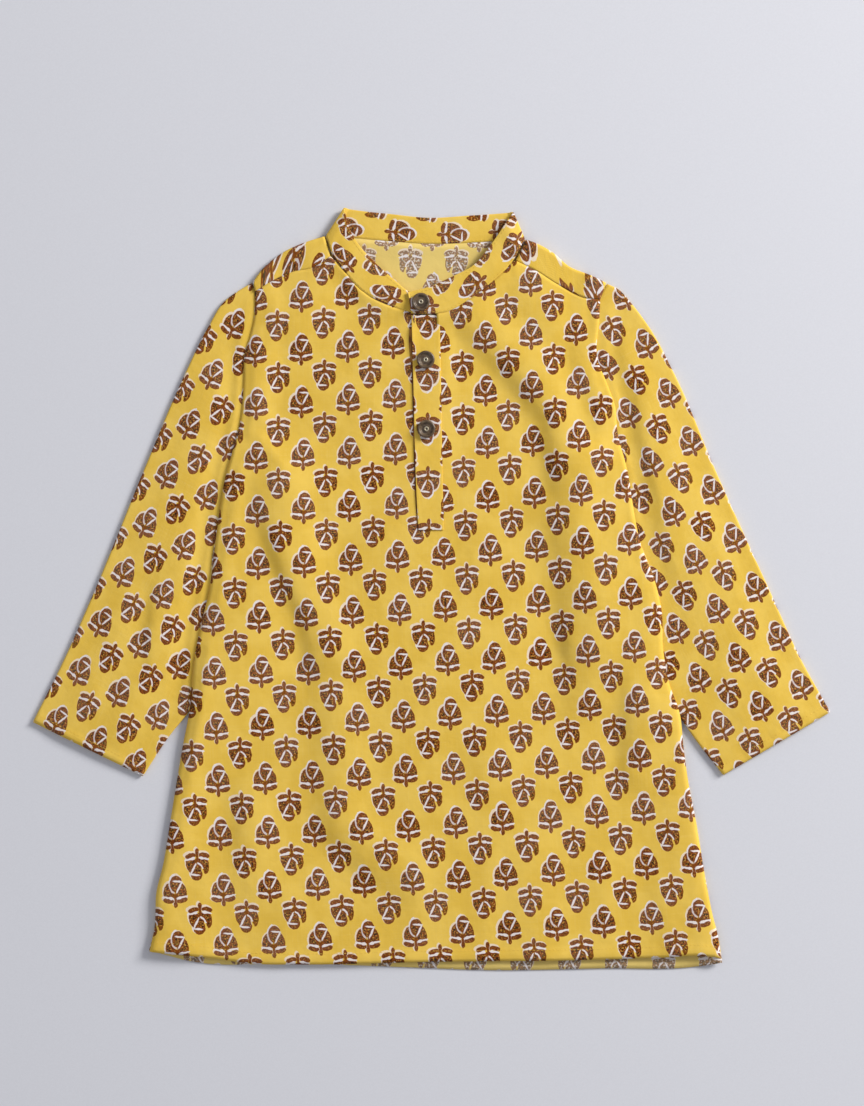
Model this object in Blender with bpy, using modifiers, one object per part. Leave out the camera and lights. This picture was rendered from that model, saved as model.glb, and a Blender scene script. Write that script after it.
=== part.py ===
"""A child's kurta tunic in thin cotton, laid flat on its back with both sleeves turned down.

Every table is in millimetres. As the tunic lies, +X is to the right, +Y is towards the collar and
+Z is up from the surface. The origin is on the surface, under the middle of the laid garment.

A plan outline is a smooth path through a few measured rows. A panel is a set of patches between
such paths, and its height comes from one height rule, so that the pieces follow each other.
"""

import bpy
import numpy as np

MM = 0.001

# Cloth and seams
CLOTH = 1.0                  # wall of one layer of cloth
BAND = 1.6                   # wall of the collar band, two layers pressed together
SEAM = 0.3                   # gap where two pieces are sewn to each other
LAP_CLEARANCE = 0.1          # more room where one piece lies on a sloping one
HEAD_GAP = 0.7               # between the back and a sleeve head, which curve differently

# Samples on each span of a smooth path
PATH_SAMPLES = 24
EDGE_SAMPLES = 12

# Rolled edges
SLEEVE_ROLL = 1.3            # outer radius of a sleeve's long edges
SLEEVE_THICK = 2 * SLEEVE_ROLL
LIFT = SLEEVE_THICK + SEAM   # how far a sleeve's edge holds up what lies on it
RAMP_START = 4.0             # the cloth above starts to slope down this far past the edge
RAMP = 18.0                  # width of that slope
RAMP_CLEARANCE = 0.4         # more room between front and back on that slope
ARMPIT_Y = 70.0
ARMPIT_CLEARANCE = 3.0       # the back's edge turns in to the armpit this far above it
LIFTED_BELOW_Y = 92.0        # below this the body lies on the sleeve, a little above the armpit
ARMPIT_BLEND = 20.0

# Slack of the front over the back
SLACK = 0.9
SLACK_MOST = 3.2
SIDE_SLOPE = 16.0            # width over which the slack closes at a side seam

# Half placket
PLACKET_SLACK = 1.5
PLACKET_HALF = 17.0          # half width of the pressed zone round the placket
PLACKET_FOOT_Y = 40.9
PLACKET_X = -3.0
PRESSED_BELOW = 20.0         # the pressed zone reaches this far below the placket's foot
PRESSED_FADE = 30.0

# Buttons
BUTTON_RADIUS = 6.25
BUTTON_STEPS = 20

# Seam lines and edges, as (x, y), measured on the garment as it lies
HEM_FRONT = [(-197.0, -253.7), (-151.5, -258.6), (-127.0, -262.1), (-92.0, -262.8), (5.9, -260.8),
             (117.9, -259.3), (159.9, -257.9), (190.0, -256.5), (201.9, -258.0)]
HEM_BACK = [(-197.5, -253.0), (-169.0, -260.8), (-92.0, -262.4), (-22.0, -264.9), (40.9, -267.1),
            (117.9, -265.9), (187.9, -264.2), (203.2, -261.4)]

# Where the lines down from the two ends of the neck meet the hem
NECK_LINE_LEFT_X = -96.0
NECK_LINE_RIGHT_X = 106.0

# The body's side edge, from the hem up to where it meets the armhole
SIDE_LEFT = [(-197.0, -253.7), (-193.5, -236.2), (-192.1, -211.0), (-187.9, -194.2),
             (-182.3, -160.6), (-173.9, -110.2), (-169.0, -84.3), (-166.2, -51.4), (-162.0, -29.0),
             (-155.8, -3.1), (-150.8, 33.9), (-143.8, 78.8)]
SIDE_RIGHT = [(201.9, -258.0), (200.5, -244.6), (196.3, -227.8), (191.4, -202.6), (184.4, -160.6),
              (179.5, -135.4), (176.0, -110.2), (173.2, -86.4), (166.2, -66.8), (162.0, -43.8),
              (160.6, -14.3), (155.8, 5.9), (146.6, 29.7), (139.9, 63.3)]

BACK_SIDE_TOP_Y = 50.0       # above this the back's edge turns in to the armpit

# The front's armhole edge, which lies on the sleeve's head
FRONT_ARMHOLE_LEFT = [(-139.6, 94.1), (-133.5, 117.9), (-131.2, 144.5), (-130.5, 164.1),
                      (-126.6, 176.8), (-123.8, 189.3), (-123.4, 207.5)]
FRONT_ARMHOLE_RIGHT = [(137.3, 80.1), (129.7, 110.9), (128.3, 127.0), (122.7, 143.1),
                       (115.7, 161.3), (117.1, 186.5), (117.8, 201.9)]

# A sleeve's head (its armhole end), its underarm edge and its upper edge
HEAD_LEFT = [(-125.6, 213.8), (-121.8, 201.9), (-121.4, 183.8), (-122.8, 166.9), (-124.9, 142.4),
             (-126.0, 117.9), (-124.0, 98.0), (-118.0, 83.0), (-108.0, 70.0)]
HEAD_RIGHT = [(122.8, 213.1), (116.1, 203.8), (115.1, 186.5), (113.7, 161.3), (120.2, 143.1),
              (125.3, 127.0), (126.0, 110.9), (123.5, 95.0), (117.5, 82.0), (108.0, 70.0)]
UNDERARM_LEFT = [(-108.0, 70.0), (-124.0, 25.0), (-141.0, -28.0), (-157.8, -66.8),
                 (-169.8, -86.4), (-182.3, -101.8), (-201.9, -131.2)]
UNDERARM_RIGHT = [(108.0, 70.0), (124.0, 25.0), (141.0, -22.0), (155.8, -59.5), (173.2, -89.2),
                  (187.9, -110.2), (204.0, -130.5)]
UPPER_LEFT = [(-125.6, 213.8), (-134.0, 208.9), (-145.2, 200.5), (-155.8, 183.8), (-172.5, 150.1),
              (-201.2, 82.9), (-235.5, -1.0), (-257.9, -51.4), (-278.9, -93.4)]
UPPER_RIGHT = [(122.8, 213.1), (131.2, 208.9), (138.9, 200.5), (151.5, 183.8), (169.8, 150.1),
               (198.4, 82.9), (236.2, -1.0), (259.3, -51.4), (278.9, -86.4)]

# Shoulders: the fold at the outline, and the seam that lies forward of it on the front
FOLD_LEFT = [(-124.9, 214.4), (-118.6, 222.9), (-105.3, 234.1), (-87.1, 242.5), (-75.0, 246.2)]
FOLD_RIGHT = [(66.5, 243.9), (72.0, 241.9), (85.8, 234.1), (95.5, 225.7), (113.0, 218.3),
              (122.1, 213.6)]
YOKE_LEFT = [(-123.4, 207.5), (-117.9, 211.0), (-96.2, 221.5), (-84.3, 223.6), (-70.6, 232.0)]
YOKE_RIGHT = [(58.7, 228.9), (72.4, 222.2), (87.1, 213.1), (107.4, 203.3), (117.8, 201.9)]

# The slit in the front that the placket fills, as the x of its two edges at three heights
SLIT = [(-260.8, 0.3, 14.3), (44.4, -8.0, 7.0), (192.0, -12.2, 3.5)]
SLIT_FOOT_Y = 44.4

# Placket strips, as (y, left x, right x)
PLACKET_OVER = [(190.9, -14.3, 5.9), (150.0, -13.2, 6.7), (52.1, -10.1, 8.5), (40.9, -9.4, 8.8)]
PLACKET_UNDER = [(188.6, -11.8, 3.0), (116.0, -9.7, 4.8), (44.9, -7.6, 6.5)]

# Collar band, from its left front end round the back to its right front end: the seam edge,
# the free edge and the height of the band's middle
COLLAR = [
    # seam x, seam y, edge x, edge y, height
    (3.1, 190.9, 3.1, 204.0, 3.0),
    (-13.6, 192.9, -15.7, 207.5, 3.0),
    (-27.6, 197.0, -25.5, 215.2, 3.6),
    (-47.2, 206.8, -38.8, 227.1, 4.4),
    (-60.5, 220.8, -52.1, 241.8, 5.0),
    (-69.6, 233.8, -58.4, 254.4, 5.2),
    (-71.8, 241.0, -59.8, 260.6, 5.2),
    (-73.0, 246.6, -60.7, 265.9, 3.1),
    (-68.0, 246.3, -57.6, 265.3, 1.1),
    (-60.5, 245.7, -51.5, 264.4, 0.8),
    (-33.2, 243.2, -30.4, 262.1, 0.8),
    (-1.0, 241.1, -1.0, 259.3, 0.8),
    (26.9, 241.8, 25.5, 260.8, 0.8),
    (52.5, 243.5, 47.0, 262.2, 0.8),
    (59.8, 244.0, 53.0, 262.7, 1.1),
    (64.4, 244.6, 56.6, 263.0, 3.1),
    (62.0, 238.5, 53.2, 257.6, 5.2),
    (55.9, 227.4, 44.5, 244.5, 5.2),
    (42.3, 214.2, 30.0, 226.5, 5.2),
    (26.9, 202.3, 16.4, 218.8, 5.1),
    (9.6, 193.0, -1.0, 211.0, 4.9),
    (-14.3, 192.0, -16.4, 206.8, 4.9),
]

# The stretches of the collar's seam edge that the front is sewn to
FRONT_NECK_TOP_Y = 229.0
NECK_LEFT_X = (-70.0, -14.5)
NECK_RIGHT_X = (6.0, 57.5)

# Large folds of the front, as soft ridges from one end to the other
FOLDS = [
    # x from, y from, x to, y to, height, width
    (26.0, 196.0, 72.0, 152.0, 2.8, 13.0),       # from the collar over the right chest
    (72.0, 152.0, 101.0, 92.0, 2.8, 13.0),
    (101.0, 92.0, 103.0, 35.0, 1.9, 13.0),
    (114.0, -5.0, 113.0, -75.0, 1.9, 14.0),      # right flank
    (148.0, -80.0, 147.0, -128.0, 1.5, 11.0),
    (-104.0, 74.0, -93.0, 27.0, 2.5, 13.0),      # from the left armpit down to the hem
    (-93.0, 27.0, -66.0, -46.0, 2.5, 13.0),
    (-63.0, -85.0, -61.0, -150.0, 1.7, 15.0),
    (-58.0, -165.0, -14.0, -198.0, 1.9, 13.0),
    (-20.0, 30.0, 20.0, -140.0, 1.2, 50.0),      # broad slack over the middle
    (-126.0, -148.0, -124.0, -205.0, 1.3, 13.0),
    (70.0, -190.0, 78.0, -262.0, 1.3, 18.0),
    (-72.0, 232.0, -96.0, 186.0, 2.6, 15.0),     # held up by the collar at each shoulder
    (60.0, 230.0, 84.0, 186.0, 2.6, 15.0),
]

# Large folds of the sleeves: fraction from head to cuff, fraction across from the upper edge
SLEEVE_FOLDS_LEFT = [
    # along from, across from, along to, across to, height, width along, width across
    (0.10, 0.45, 0.42, 0.40, 1.5, 0.16, 0.24),
    (0.50, 0.62, 0.86, 0.58, 1.7, 0.14, 0.20),
    (0.72, 0.28, 0.96, 0.30, 0.9, 0.10, 0.16),
]
SLEEVE_FOLDS_RIGHT = [
    (0.08, 0.40, 0.38, 0.52, 1.7, 0.14, 0.22),
    (0.44, 0.40, 0.92, 0.44, 1.3, 0.16, 0.26),
]
SLEEVE_SLACK = 0.25
SLEEVE_SLACK_MOST = 2.6
SLEEVE_EDGE_FADE = 0.22      # fraction of a sleeve's width over which the slack closes
SLEEVE_HEAD_FADE = 0.12      # and fraction of its length
TUCK_MARGIN = 4.0            # a sleeve lies flat under the body and this far beyond its edge

# Grid steps: fractions across or along a patch
SIDE_STEPS = [0.0, 0.06, 0.13, 0.21, 0.31, 0.42, 0.54, 0.68, 0.83, 1.0]
NECK_STEPS = list(np.linspace(0.0, 1.0, 7))
SLIT_STEPS = [0.0, 0.5, 1.0]
BACK_NECK_STEPS = list(np.linspace(0.0, 1.0, 9))
ROWS_BELOW_SLIT = 18
ROWS_ABOVE_SLIT = 12
SLIT_FOOT_FRACTION = (SLIT_FOOT_Y - SLIT[0][0]) / (SLIT[-1][0] - SLIT[0][0])
UP_STEPS = np.concatenate([
    np.linspace(0.0, SLIT_FOOT_FRACTION, ROWS_BELOW_SLIT + 1),
    np.linspace(SLIT_FOOT_FRACTION, 1.0, ROWS_ABOVE_SLIT + 1)[1:],
])
SLEEVE_RINGS = 17
SLEEVE_FLAT_STEPS = 11
SLEEVE_PLAN_STEPS = 41
FLAP_STEPS = (0.5, 1.0)
ROLL_ANGLES = (-60.0, -30.0, 0.0, 30.0, 60.0)

# Finishes: base colour, roughness
COTTON = ((0.80, 0.55, 0.10), 0.85)
COTTON_BAND = ((0.78, 0.53, 0.10), 0.85)
HORN = ((0.075, 0.055, 0.045), 0.45)


def spline(rows, per_span):
    """A smooth curve through the rows: cubic spans whose slope at a row is the length-weighted
    mean of the slopes to its two neighbours."""
    knots = np.array(rows, float)
    steps = np.diff(knots, axis=0)
    length = np.linalg.norm(steps, axis=1)[:, None]
    slope = steps / length
    middle = (slope[:-1] * length[1:] + slope[1:] * length[:-1]) / (length[1:] + length[:-1])
    tangent = np.vstack([slope[:1], middle, slope[-1:]])
    t = np.linspace(0.0, 1.0, per_span, endpoint=False)[None, :, None]
    start, end = knots[:-1, None], knots[1:, None]
    leave, arrive = (tangent[:-1] * length)[:, None], (tangent[1:] * length)[:, None]
    points = ((2 * t**3 - 3 * t**2 + 1) * start + (t**3 - 2 * t**2 + t) * leave
              + (3 * t**2 - 2 * t**3) * end + (t**3 - t**2) * arrive)
    return np.vstack([points.reshape(-1, knots.shape[1]), knots[-1:]])


def path_at(rows, fractions):
    """Points at the given fractions of the length of the smooth curve through the rows."""
    dense = spline(rows, PATH_SAMPLES)
    run = np.concatenate([[0.0], np.cumsum(np.linalg.norm(np.diff(dense, axis=0), axis=1))])
    wanted = np.asarray(fractions) * run[-1]
    return np.column_stack([np.interp(wanted, run, column) for column in dense.T])


def x_on(rows, y):
    """The x of a path that climbs steadily, at the heights y."""
    dense = spline(sorted(rows, key=lambda row: row[1]), EDGE_SAMPLES)
    return np.interp(y, dense[:, 1], dense[:, 0])


def y_on(rows, x):
    """The y of a path that runs steadily to the right, at the places x."""
    dense = spline(rows, EDGE_SAMPLES)
    return np.interp(x, dense[:, 0], dense[:, 1])


def patch(bottom, top, left, right, across, up):
    """A Coons patch: the sum of the two blends between facing sides, less the corner blend."""
    u, v = np.asarray(across)[None, :, None], np.asarray(up)[:, None, None]
    corners = ((1 - u) * (1 - v) * bottom[0] + u * (1 - v) * bottom[-1]
               + (1 - u) * v * top[0] + u * v * top[-1])
    return ((1 - v) * bottom[None] + v * top[None]
            + (1 - u) * left[:, None] + u * right[:, None] - corners)


def join_patches(patches):
    """Neighbouring patches side by side, each shared column kept once."""
    return np.concatenate([patches[0]] + [p[:, 1:] for p in patches[1:]], axis=1)


def ease(value):
    """0 below 0, 1 above 1, and a smooth S between."""
    t = np.clip(value, 0.0, 1.0)
    return t * t * (3 - 2 * t)


def from_sleeve(x, y, side):
    """How far a point lies on the body's side of a sleeve's head and underarm edge."""
    if side < 0:
        edge = x_on(HEAD_LEFT + UNDERARM_LEFT[1:], y)
        return x - edge
    edge = x_on(HEAD_RIGHT + UNDERARM_RIGHT[1:], y)
    return edge - x


def over_sleeve(x, y):
    """1 over a sleeve, falling to 0 across the ramp on its body side."""
    left = 1 - ease((from_sleeve(x, y, -1) - RAMP_START) / RAMP)
    right = 1 - ease((from_sleeve(x, y, 1) - RAMP_START) / RAMP)
    return np.where(x < 0, left, right)


def below_armpit(y):
    return ease((LIFTED_BELOW_Y + ARMPIT_BLEND - y) / ARMPIT_BLEND)


def back_height(x, y):
    """Underside of the back: on the surface, and lifted where a sleeve's edge is tucked under."""
    return LIFT * below_armpit(y) * over_sleeve(x, y)


def ridge(x, y, fold):
    """A soft ridge: a bell curve of the distance to the line between the fold's two ends."""
    x_from, y_from, x_to, y_to, height, width = fold
    run_x, run_y = x_to - x_from, y_to - y_from
    along = ((x - x_from) * run_x + (y - y_from) * run_y) / (run_x**2 + run_y**2)
    along = np.clip(along, 0.0, 1.0)
    off = np.hypot(x - x_from - along * run_x, y - y_from - along * run_y)
    return height * np.exp(-((off / width) ** 2))


def from_side(x, y):
    """How far a point lies inside the body's side seam."""
    left = x - x_on(SIDE_LEFT + FRONT_ARMHOLE_LEFT, y)
    right = x_on(SIDE_RIGHT + FRONT_ARMHOLE_RIGHT, y) - x
    return np.minimum(left, right)


def slack(x, y):
    """Height of the front's underside over the back: folds, closed at the sides."""
    total = SLACK + sum(ridge(x, y, fold) for fold in FOLDS)
    total = SLACK_MOST * np.tanh(total / SLACK_MOST)
    total = total * ease(from_side(x, y) / SIDE_SLOPE)
    pressed = np.exp(-(((x - PLACKET_X) / PLACKET_HALF) ** 4))
    pressed = pressed * ease((y - PLACKET_FOOT_Y + PRESSED_BELOW) / PRESSED_FADE)
    return total * (1 - pressed) + PLACKET_SLACK * pressed


def front_height(x, y):
    """Underside of the front: clear of the back, of the tucked sleeves and of the sleeve heads."""
    near, low = over_sleeve(x, y), below_armpit(y)
    on_head = (LIFT - CLOTH - SEAM + LAP_CLEARANCE) * (1 - low) * near
    on_ramp = RAMP_CLEARANCE * 4 * near * (1 - near) * low
    return back_height(x, y) + CLOTH + SEAM + on_head + on_ramp + slack(x, y)


def front_top(x, y):
    return front_height(x, y) + CLOTH


def on_hem(hem, x):
    return (x, y_on(hem, x))


def hem_stretch(hem, x_from, x_to, steps):
    x = x_from + (x_to - x_from) * np.asarray(steps)
    return np.column_stack([x, y_on(hem, x)])


def with_height(plan, height):
    return np.dstack([plan, height(plan[..., 0], plan[..., 1])])


def material(name, finish):
    colour, roughness = finish
    made = bpy.data.materials.new(name)
    made.use_nodes = True
    shader = made.node_tree.nodes["Principled BSDF"]
    shader.inputs["Base Color"].default_value = (*colour, 1.0)
    shader.inputs["Roughness"].default_value = roughness
    made.diffuse_color = (*colour, 1.0)
    return made


def cloth_object(name, points, finish, wall=CLOTH, offset=1.0, keep=None, closed=False, flip=False):
    """An open grid of points, given its wall by Solidify. keep says which cells have cloth."""
    rows, columns = points.shape[:2]
    index = np.arange(rows * columns).reshape(rows, columns)
    right = np.roll(index, -1, axis=1)
    cells = np.stack([index[:-1], right[:-1], right[1:], index[1:]], axis=-1)
    if not closed:
        cells = cells[:, :-1]
    if flip:
        cells = cells[..., ::-1]
    faces = (cells if keep is None else cells[keep]).reshape(-1, 4)
    used, faces = np.unique(faces, return_inverse=True)
    vertices = points.reshape(-1, 3)[used] * MM
    mesh = bpy.data.meshes.new(name)
    mesh.from_pydata(vertices.tolist(), [], faces.reshape(-1, 4).tolist())
    mesh.validate()
    mesh.shade_smooth()
    mesh.materials.append(finish)
    made = bpy.data.objects.new(name, mesh)
    bpy.data.collections["kurta_tunic"].objects.link(made)
    solid = made.modifiers.new("wall", "SOLIDIFY")
    solid.thickness = wall * MM
    solid.offset = offset
    solid.use_even_offset = True
    solid.use_rim = True
    return made


def collar_run():
    """Sections along the whole collar; none of it is lower than the surface allows."""
    run = spline(COLLAR, 3)
    run[:, 4] = np.maximum(run[:, 4], BAND / 2)
    return run


def front_neck(x_from, x_to):
    """The front's neck edge beside one half of the collar, a seam's width outside its seam."""
    run = collar_run()
    step = np.gradient(run[:, :2], axis=0)
    step = step / np.linalg.norm(step, axis=1)[:, None]
    out = np.column_stack([-step[:, 1], step[:, 0]])
    edge = run[:, :2] + out * (SEAM + LAP_CLEARANCE)
    front_half = (edge[:, 1] < FRONT_NECK_TOP_Y) & (edge[:, 0] > x_from) & (edge[:, 0] < x_to)
    rows = [tuple(point) for point in edge[front_half]]
    return sorted(rows)


def slit_path(column):
    """One edge of the slit, carried straight down to the hem. column is 1 or 2 of SLIT."""
    return [(row[column], row[0]) for row in SLIT]


def front_panel(finish):
    """Five patches from hem to shoulder; the middle one stops at the foot of the slit."""
    side_l = path_at(SIDE_LEFT + FRONT_ARMHOLE_LEFT, UP_STEPS)
    side_r = path_at(SIDE_RIGHT + FRONT_ARMHOLE_RIGHT, UP_STEPS)
    slit_l = path_at(slit_path(1), UP_STEPS)
    slit_r = path_at(slit_path(2), UP_STEPS)
    neck_l = path_at([on_hem(HEM_FRONT, NECK_LINE_LEFT_X), YOKE_LEFT[-1]], UP_STEPS)
    neck_r = path_at([on_hem(HEM_FRONT, NECK_LINE_RIGHT_X), YOKE_RIGHT[0]], UP_STEPS)
    neck_left = [YOKE_LEFT[-1]] + front_neck(*NECK_LEFT_X) + [tuple(slit_l[-1])]
    neck_right = [tuple(slit_r[-1])] + front_neck(*NECK_RIGHT_X) + [YOKE_RIGHT[0]]
    inward = [1 - step for step in reversed(SIDE_STEPS)]
    lines = [
        # left path, right path, top path, steps across
        (side_l, neck_l, YOKE_LEFT, SIDE_STEPS),
        (neck_l, slit_l, neck_left, NECK_STEPS),
        (slit_l, slit_r, [slit_l[-1], slit_r[-1]], SLIT_STEPS),
        (slit_r, neck_r, neck_right, NECK_STEPS),
        (neck_r, side_r, YOKE_RIGHT, inward),
    ]
    patches = []
    for left, right, top, steps in lines:
        bottom = hem_stretch(HEM_FRONT, left[0, 0], right[0, 0], steps)
        patches.append(patch(bottom, path_at(top, steps), left, right, steps, UP_STEPS))
    plan = join_patches(patches)
    keep = np.ones((plan.shape[0] - 1, plan.shape[1] - 1), bool)
    first = len(SIDE_STEPS) + len(NECK_STEPS) - 2
    keep[ROWS_BELOW_SLIT:, first:first + len(SLIT_STEPS) - 1] = False
    return cloth_object("front_panel", with_height(plan, front_height), finish, keep=keep)


def back_side(side_rows, head_rows, side):
    """The back's side edge: up the side seam, in over the armpit, and up beside the sleeve head."""
    head = [(x - side * HEAD_GAP, y) for x, y in head_rows if y > ARMPIT_Y + ARMPIT_CLEARANCE]
    return [row for row in side_rows if row[1] < BACK_SIDE_TOP_Y] + head[::-1]


def roll_over(fold, seam, radius):
    """Rows of a cloth edge that rolls over the shoulder: up round the fold, then flat to the seam."""
    inward = seam - fold
    inward = inward / np.linalg.norm(inward, axis=1)[:, None]
    rows = []
    for angle in np.radians((-90.0,) + ROLL_ANGLES + (90.0,)):
        plan = fold + inward * (radius * (1 - np.cos(angle)))[:, None]
        rows.append(np.column_stack([plan, radius * (1 + np.sin(angle))]))
    top = rows[-1][:, :2]
    for part in FLAP_STEPS:
        plan = top * (1 - part) + seam * part
        rows.append(np.column_stack([plan, 2 * radius]))
    return np.array(rows)


def back_panel(finish):
    """Three patches from hem to neck and shoulders; the shoulders roll over to the forward seam."""
    yoke_gap = np.array([0.0, SEAM + LAP_CLEARANCE])
    inward = [1 - step for step in reversed(SIDE_STEPS)]
    sides = [
        # fold, forward seam, steps across
        (path_at(FOLD_LEFT, SIDE_STEPS), path_at(YOKE_LEFT, SIDE_STEPS) + yoke_gap),
        (path_at(FOLD_RIGHT, inward), path_at(YOKE_RIGHT, inward) + yoke_gap),
    ]
    rolls = [roll_over(fold, seam, front_top(*seam.T) / 2) for fold, seam in sides]
    up = UP_STEPS
    side_l = back_side(SIDE_LEFT, HEAD_LEFT, -1)
    side_r = back_side(SIDE_RIGHT, HEAD_RIGHT, 1)
    side_l = path_at([HEM_BACK[0]] + side_l[1:-1] + [tuple(rolls[0][0, 0, :2])], up)
    side_r = path_at([HEM_BACK[-1]] + side_r[1:-1] + [tuple(rolls[1][0, -1, :2])], up)
    neck_l = path_at([on_hem(HEM_BACK, NECK_LINE_LEFT_X), tuple(rolls[0][0, -1, :2])], up)
    neck_r = path_at([on_hem(HEM_BACK, NECK_LINE_RIGHT_X), tuple(rolls[1][0, 0, :2])], up)
    band = [row for row in collar_run() if row[4] < BAND]
    neck = [(row[0], row[1] - SEAM - 2 * LAP_CLEARANCE) for row in band[1:-1]]
    neck = [tuple(neck_l[-1])] + neck + [tuple(neck_r[-1])]
    lines = [
        (side_l, neck_l, rolls[0][0, :, :2], SIDE_STEPS),
        (neck_l, neck_r, path_at(neck, BACK_NECK_STEPS), BACK_NECK_STEPS),
        (neck_r, side_r, rolls[1][0, :, :2], inward),
    ]
    patches = []
    for left, right, top, steps in lines:
        bottom = hem_stretch(HEM_BACK, left[0, 0], right[0, 0], steps)
        patches.append(patch(bottom, top, left, right, steps, up))
    flat = with_height(join_patches(patches), back_height)
    gap = np.zeros((rolls[0].shape[0] - 1, len(BACK_NECK_STEPS) - 2, 3))
    rolled = np.concatenate([rolls[0][1:], gap, rolls[1][1:]], axis=1)
    points = np.concatenate([flat, rolled])
    keep = np.ones((points.shape[0] - 1, points.shape[1] - 1), bool)
    first = len(SIDE_STEPS) - 1
    keep[len(up) - 1:, first:first + len(BACK_NECK_STEPS) - 1] = False
    return cloth_object("back_panel", points, finish, offset=-1.0, keep=keep, flip=True)


def sleeve_slack(along, across, folds):
    """Height of a sleeve's upper layer over its pressed edges."""
    total = SLEEVE_SLACK
    for a_from, c_from, a_to, c_to, height, width_a, width_c in folds:
        part = np.clip((along - a_from) / (a_to - a_from), 0.0, 1.0)
        off_a = (along - a_from - part * (a_to - a_from)) / width_a
        off_c = (across - c_from - part * (c_to - c_from)) / width_c
        total = total + height * np.exp(-off_a**2 - off_c**2)
    closed = ease(across / SLEEVE_EDGE_FADE) * ease((1 - across) / SLEEVE_EDGE_FADE)
    closed = closed * ease(along / SLEEVE_HEAD_FADE)
    return SLEEVE_SLACK_MOST * np.tanh(total / SLEEVE_SLACK_MOST) * closed


def sleeve(name, upper, underarm, head, folds, flip, finish):
    """A flattened tube: each ring runs along the floor, round one pressed edge and back on top."""
    along = np.linspace(0.0, 1.0, SLEEVE_RINGS)
    fine = np.linspace(0.0, 1.0, SLEEVE_PLAN_STEPS)
    left, right = path_at(upper, along), path_at(underarm, along)
    cuff = left[-1] + (right[-1] - left[-1]) * fine[:, None]
    plan = patch(path_at(head, fine), cuff, left, right, fine, along)
    width = np.linalg.norm(right - left, axis=1)[:, None]
    flat = np.linspace(0.0, 1.0, SLEEVE_FLAT_STEPS)[None, :]
    inset = SLEEVE_ROLL / width
    floor = inset + (1 - 2 * inset) * flat
    angle = np.radians(ROLL_ANGLES)[None, :]
    round_out = inset * (1 - np.cos(angle))
    rise = np.broadcast_to(SLEEVE_ROLL * (1 + np.sin(angle)), round_out.shape)
    across = np.hstack([floor, 1 - round_out, floor[:, ::-1], round_out])
    x = np.array([np.interp(row, fine, line[:, 0]) for row, line in zip(across, plan)])
    y = np.array([np.interp(row, fine, line[:, 1]) for row, line in zip(across, plan)])
    steps = SLEEVE_FLAT_STEPS
    free = ease((-from_side(x[:, :steps], y[:, :steps]) - TUCK_MARGIN) / SIDE_SLOPE)
    top = SLEEVE_THICK + sleeve_slack(along[:, None], floor, folds) * free
    height = np.hstack([0 * floor, rise, top[:, ::-1], rise[:, ::-1]])
    points = np.dstack([x, y, height])
    return cloth_object(name, points, finish, offset=-1.0, closed=True, flip=flip)


def collar_band(finish):
    """One strip that turns over at both sides of the neck, given the thickness of two layers."""
    run = collar_run()
    seam = np.column_stack([run[:, 0:2], run[:, 4]])
    edge = np.column_stack([run[:, 2:4], run[:, 4]])
    part = np.linspace(0.0, 1.0, 4)[:, None, None]
    points = seam[None] * (1 - part) + edge[None] * part
    return cloth_object("collar_band", points, finish, wall=BAND, offset=0.0)


def placket_strip(name, rows, height, finish):
    """A strip whose edges follow the rows and whose underside follows the height rule."""
    table = spline(rows, 5)
    across = np.linspace(0.0, 1.0, 4)[None, :]
    x = table[:, 1:2] * (1 - across) + table[:, 2:3] * across
    y = np.broadcast_to(table[:, 0:1], x.shape)
    points = np.dstack([x, y, height(x, y)])[::-1]
    return cloth_object(name, points, finish)


def over_height(x, y):
    return front_top(x, y) + SEAM + LAP_CLEARANCE


# A button's outer side from the middle of its face to the middle of its back: radius, height
BUTTON_PROFILE = [(0.0, 2.1), (0.9, 2.1), (1.2, 1.7), (3.9, 1.7), (4.4, 2.5), (5.5, 2.8),
                  (6.25, 2.1), (6.0, 0.6), (4.8, 0.0), (0.0, 0.0)]
# Buttons by place: x, y, height of what they are sewn to
COLLAR_FACE = 4.9 + BAND / 2
BUTTONS = [("button_1", -7.5, 200.0, COLLAR_FACE), ("button_2", -4.1, 159.7, None),
           ("button_3", -3.6, 111.4, None)]


def button(name, x, y, face, finish):
    """A turned disc with a raised rim and a small boss, seated on the cloth under it."""
    if face is None:
        turn = np.linspace(0.0, 2 * np.pi, 9)
        rim_x, rim_y = x + BUTTON_RADIUS * np.cos(turn), y + BUTTON_RADIUS * np.sin(turn)
        face = float(np.max(over_height(rim_x, rim_y))) + CLOTH
    vertices = [(radius * MM, 0.0, height * MM) for radius, height in BUTTON_PROFILE]
    edges = [(i, i + 1) for i in range(len(vertices) - 1)]
    mesh = bpy.data.meshes.new(name)
    mesh.from_pydata(vertices, edges, [])
    mesh.materials.append(finish)
    made = bpy.data.objects.new(name, mesh)
    made.location = (x * MM, y * MM, (face + SEAM) * MM)
    bpy.data.collections["kurta_tunic"].objects.link(made)
    turned = made.modifiers.new("turned", "SCREW")
    turned.steps = BUTTON_STEPS
    turned.render_steps = BUTTON_STEPS
    turned.use_merge_vertices = True
    turned.merge_threshold = 0.00001
    turned.use_smooth_shade = True
    return made


def clear_scene():
    for old in list(bpy.data.objects):
        bpy.data.objects.remove(old, do_unlink=True)


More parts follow.
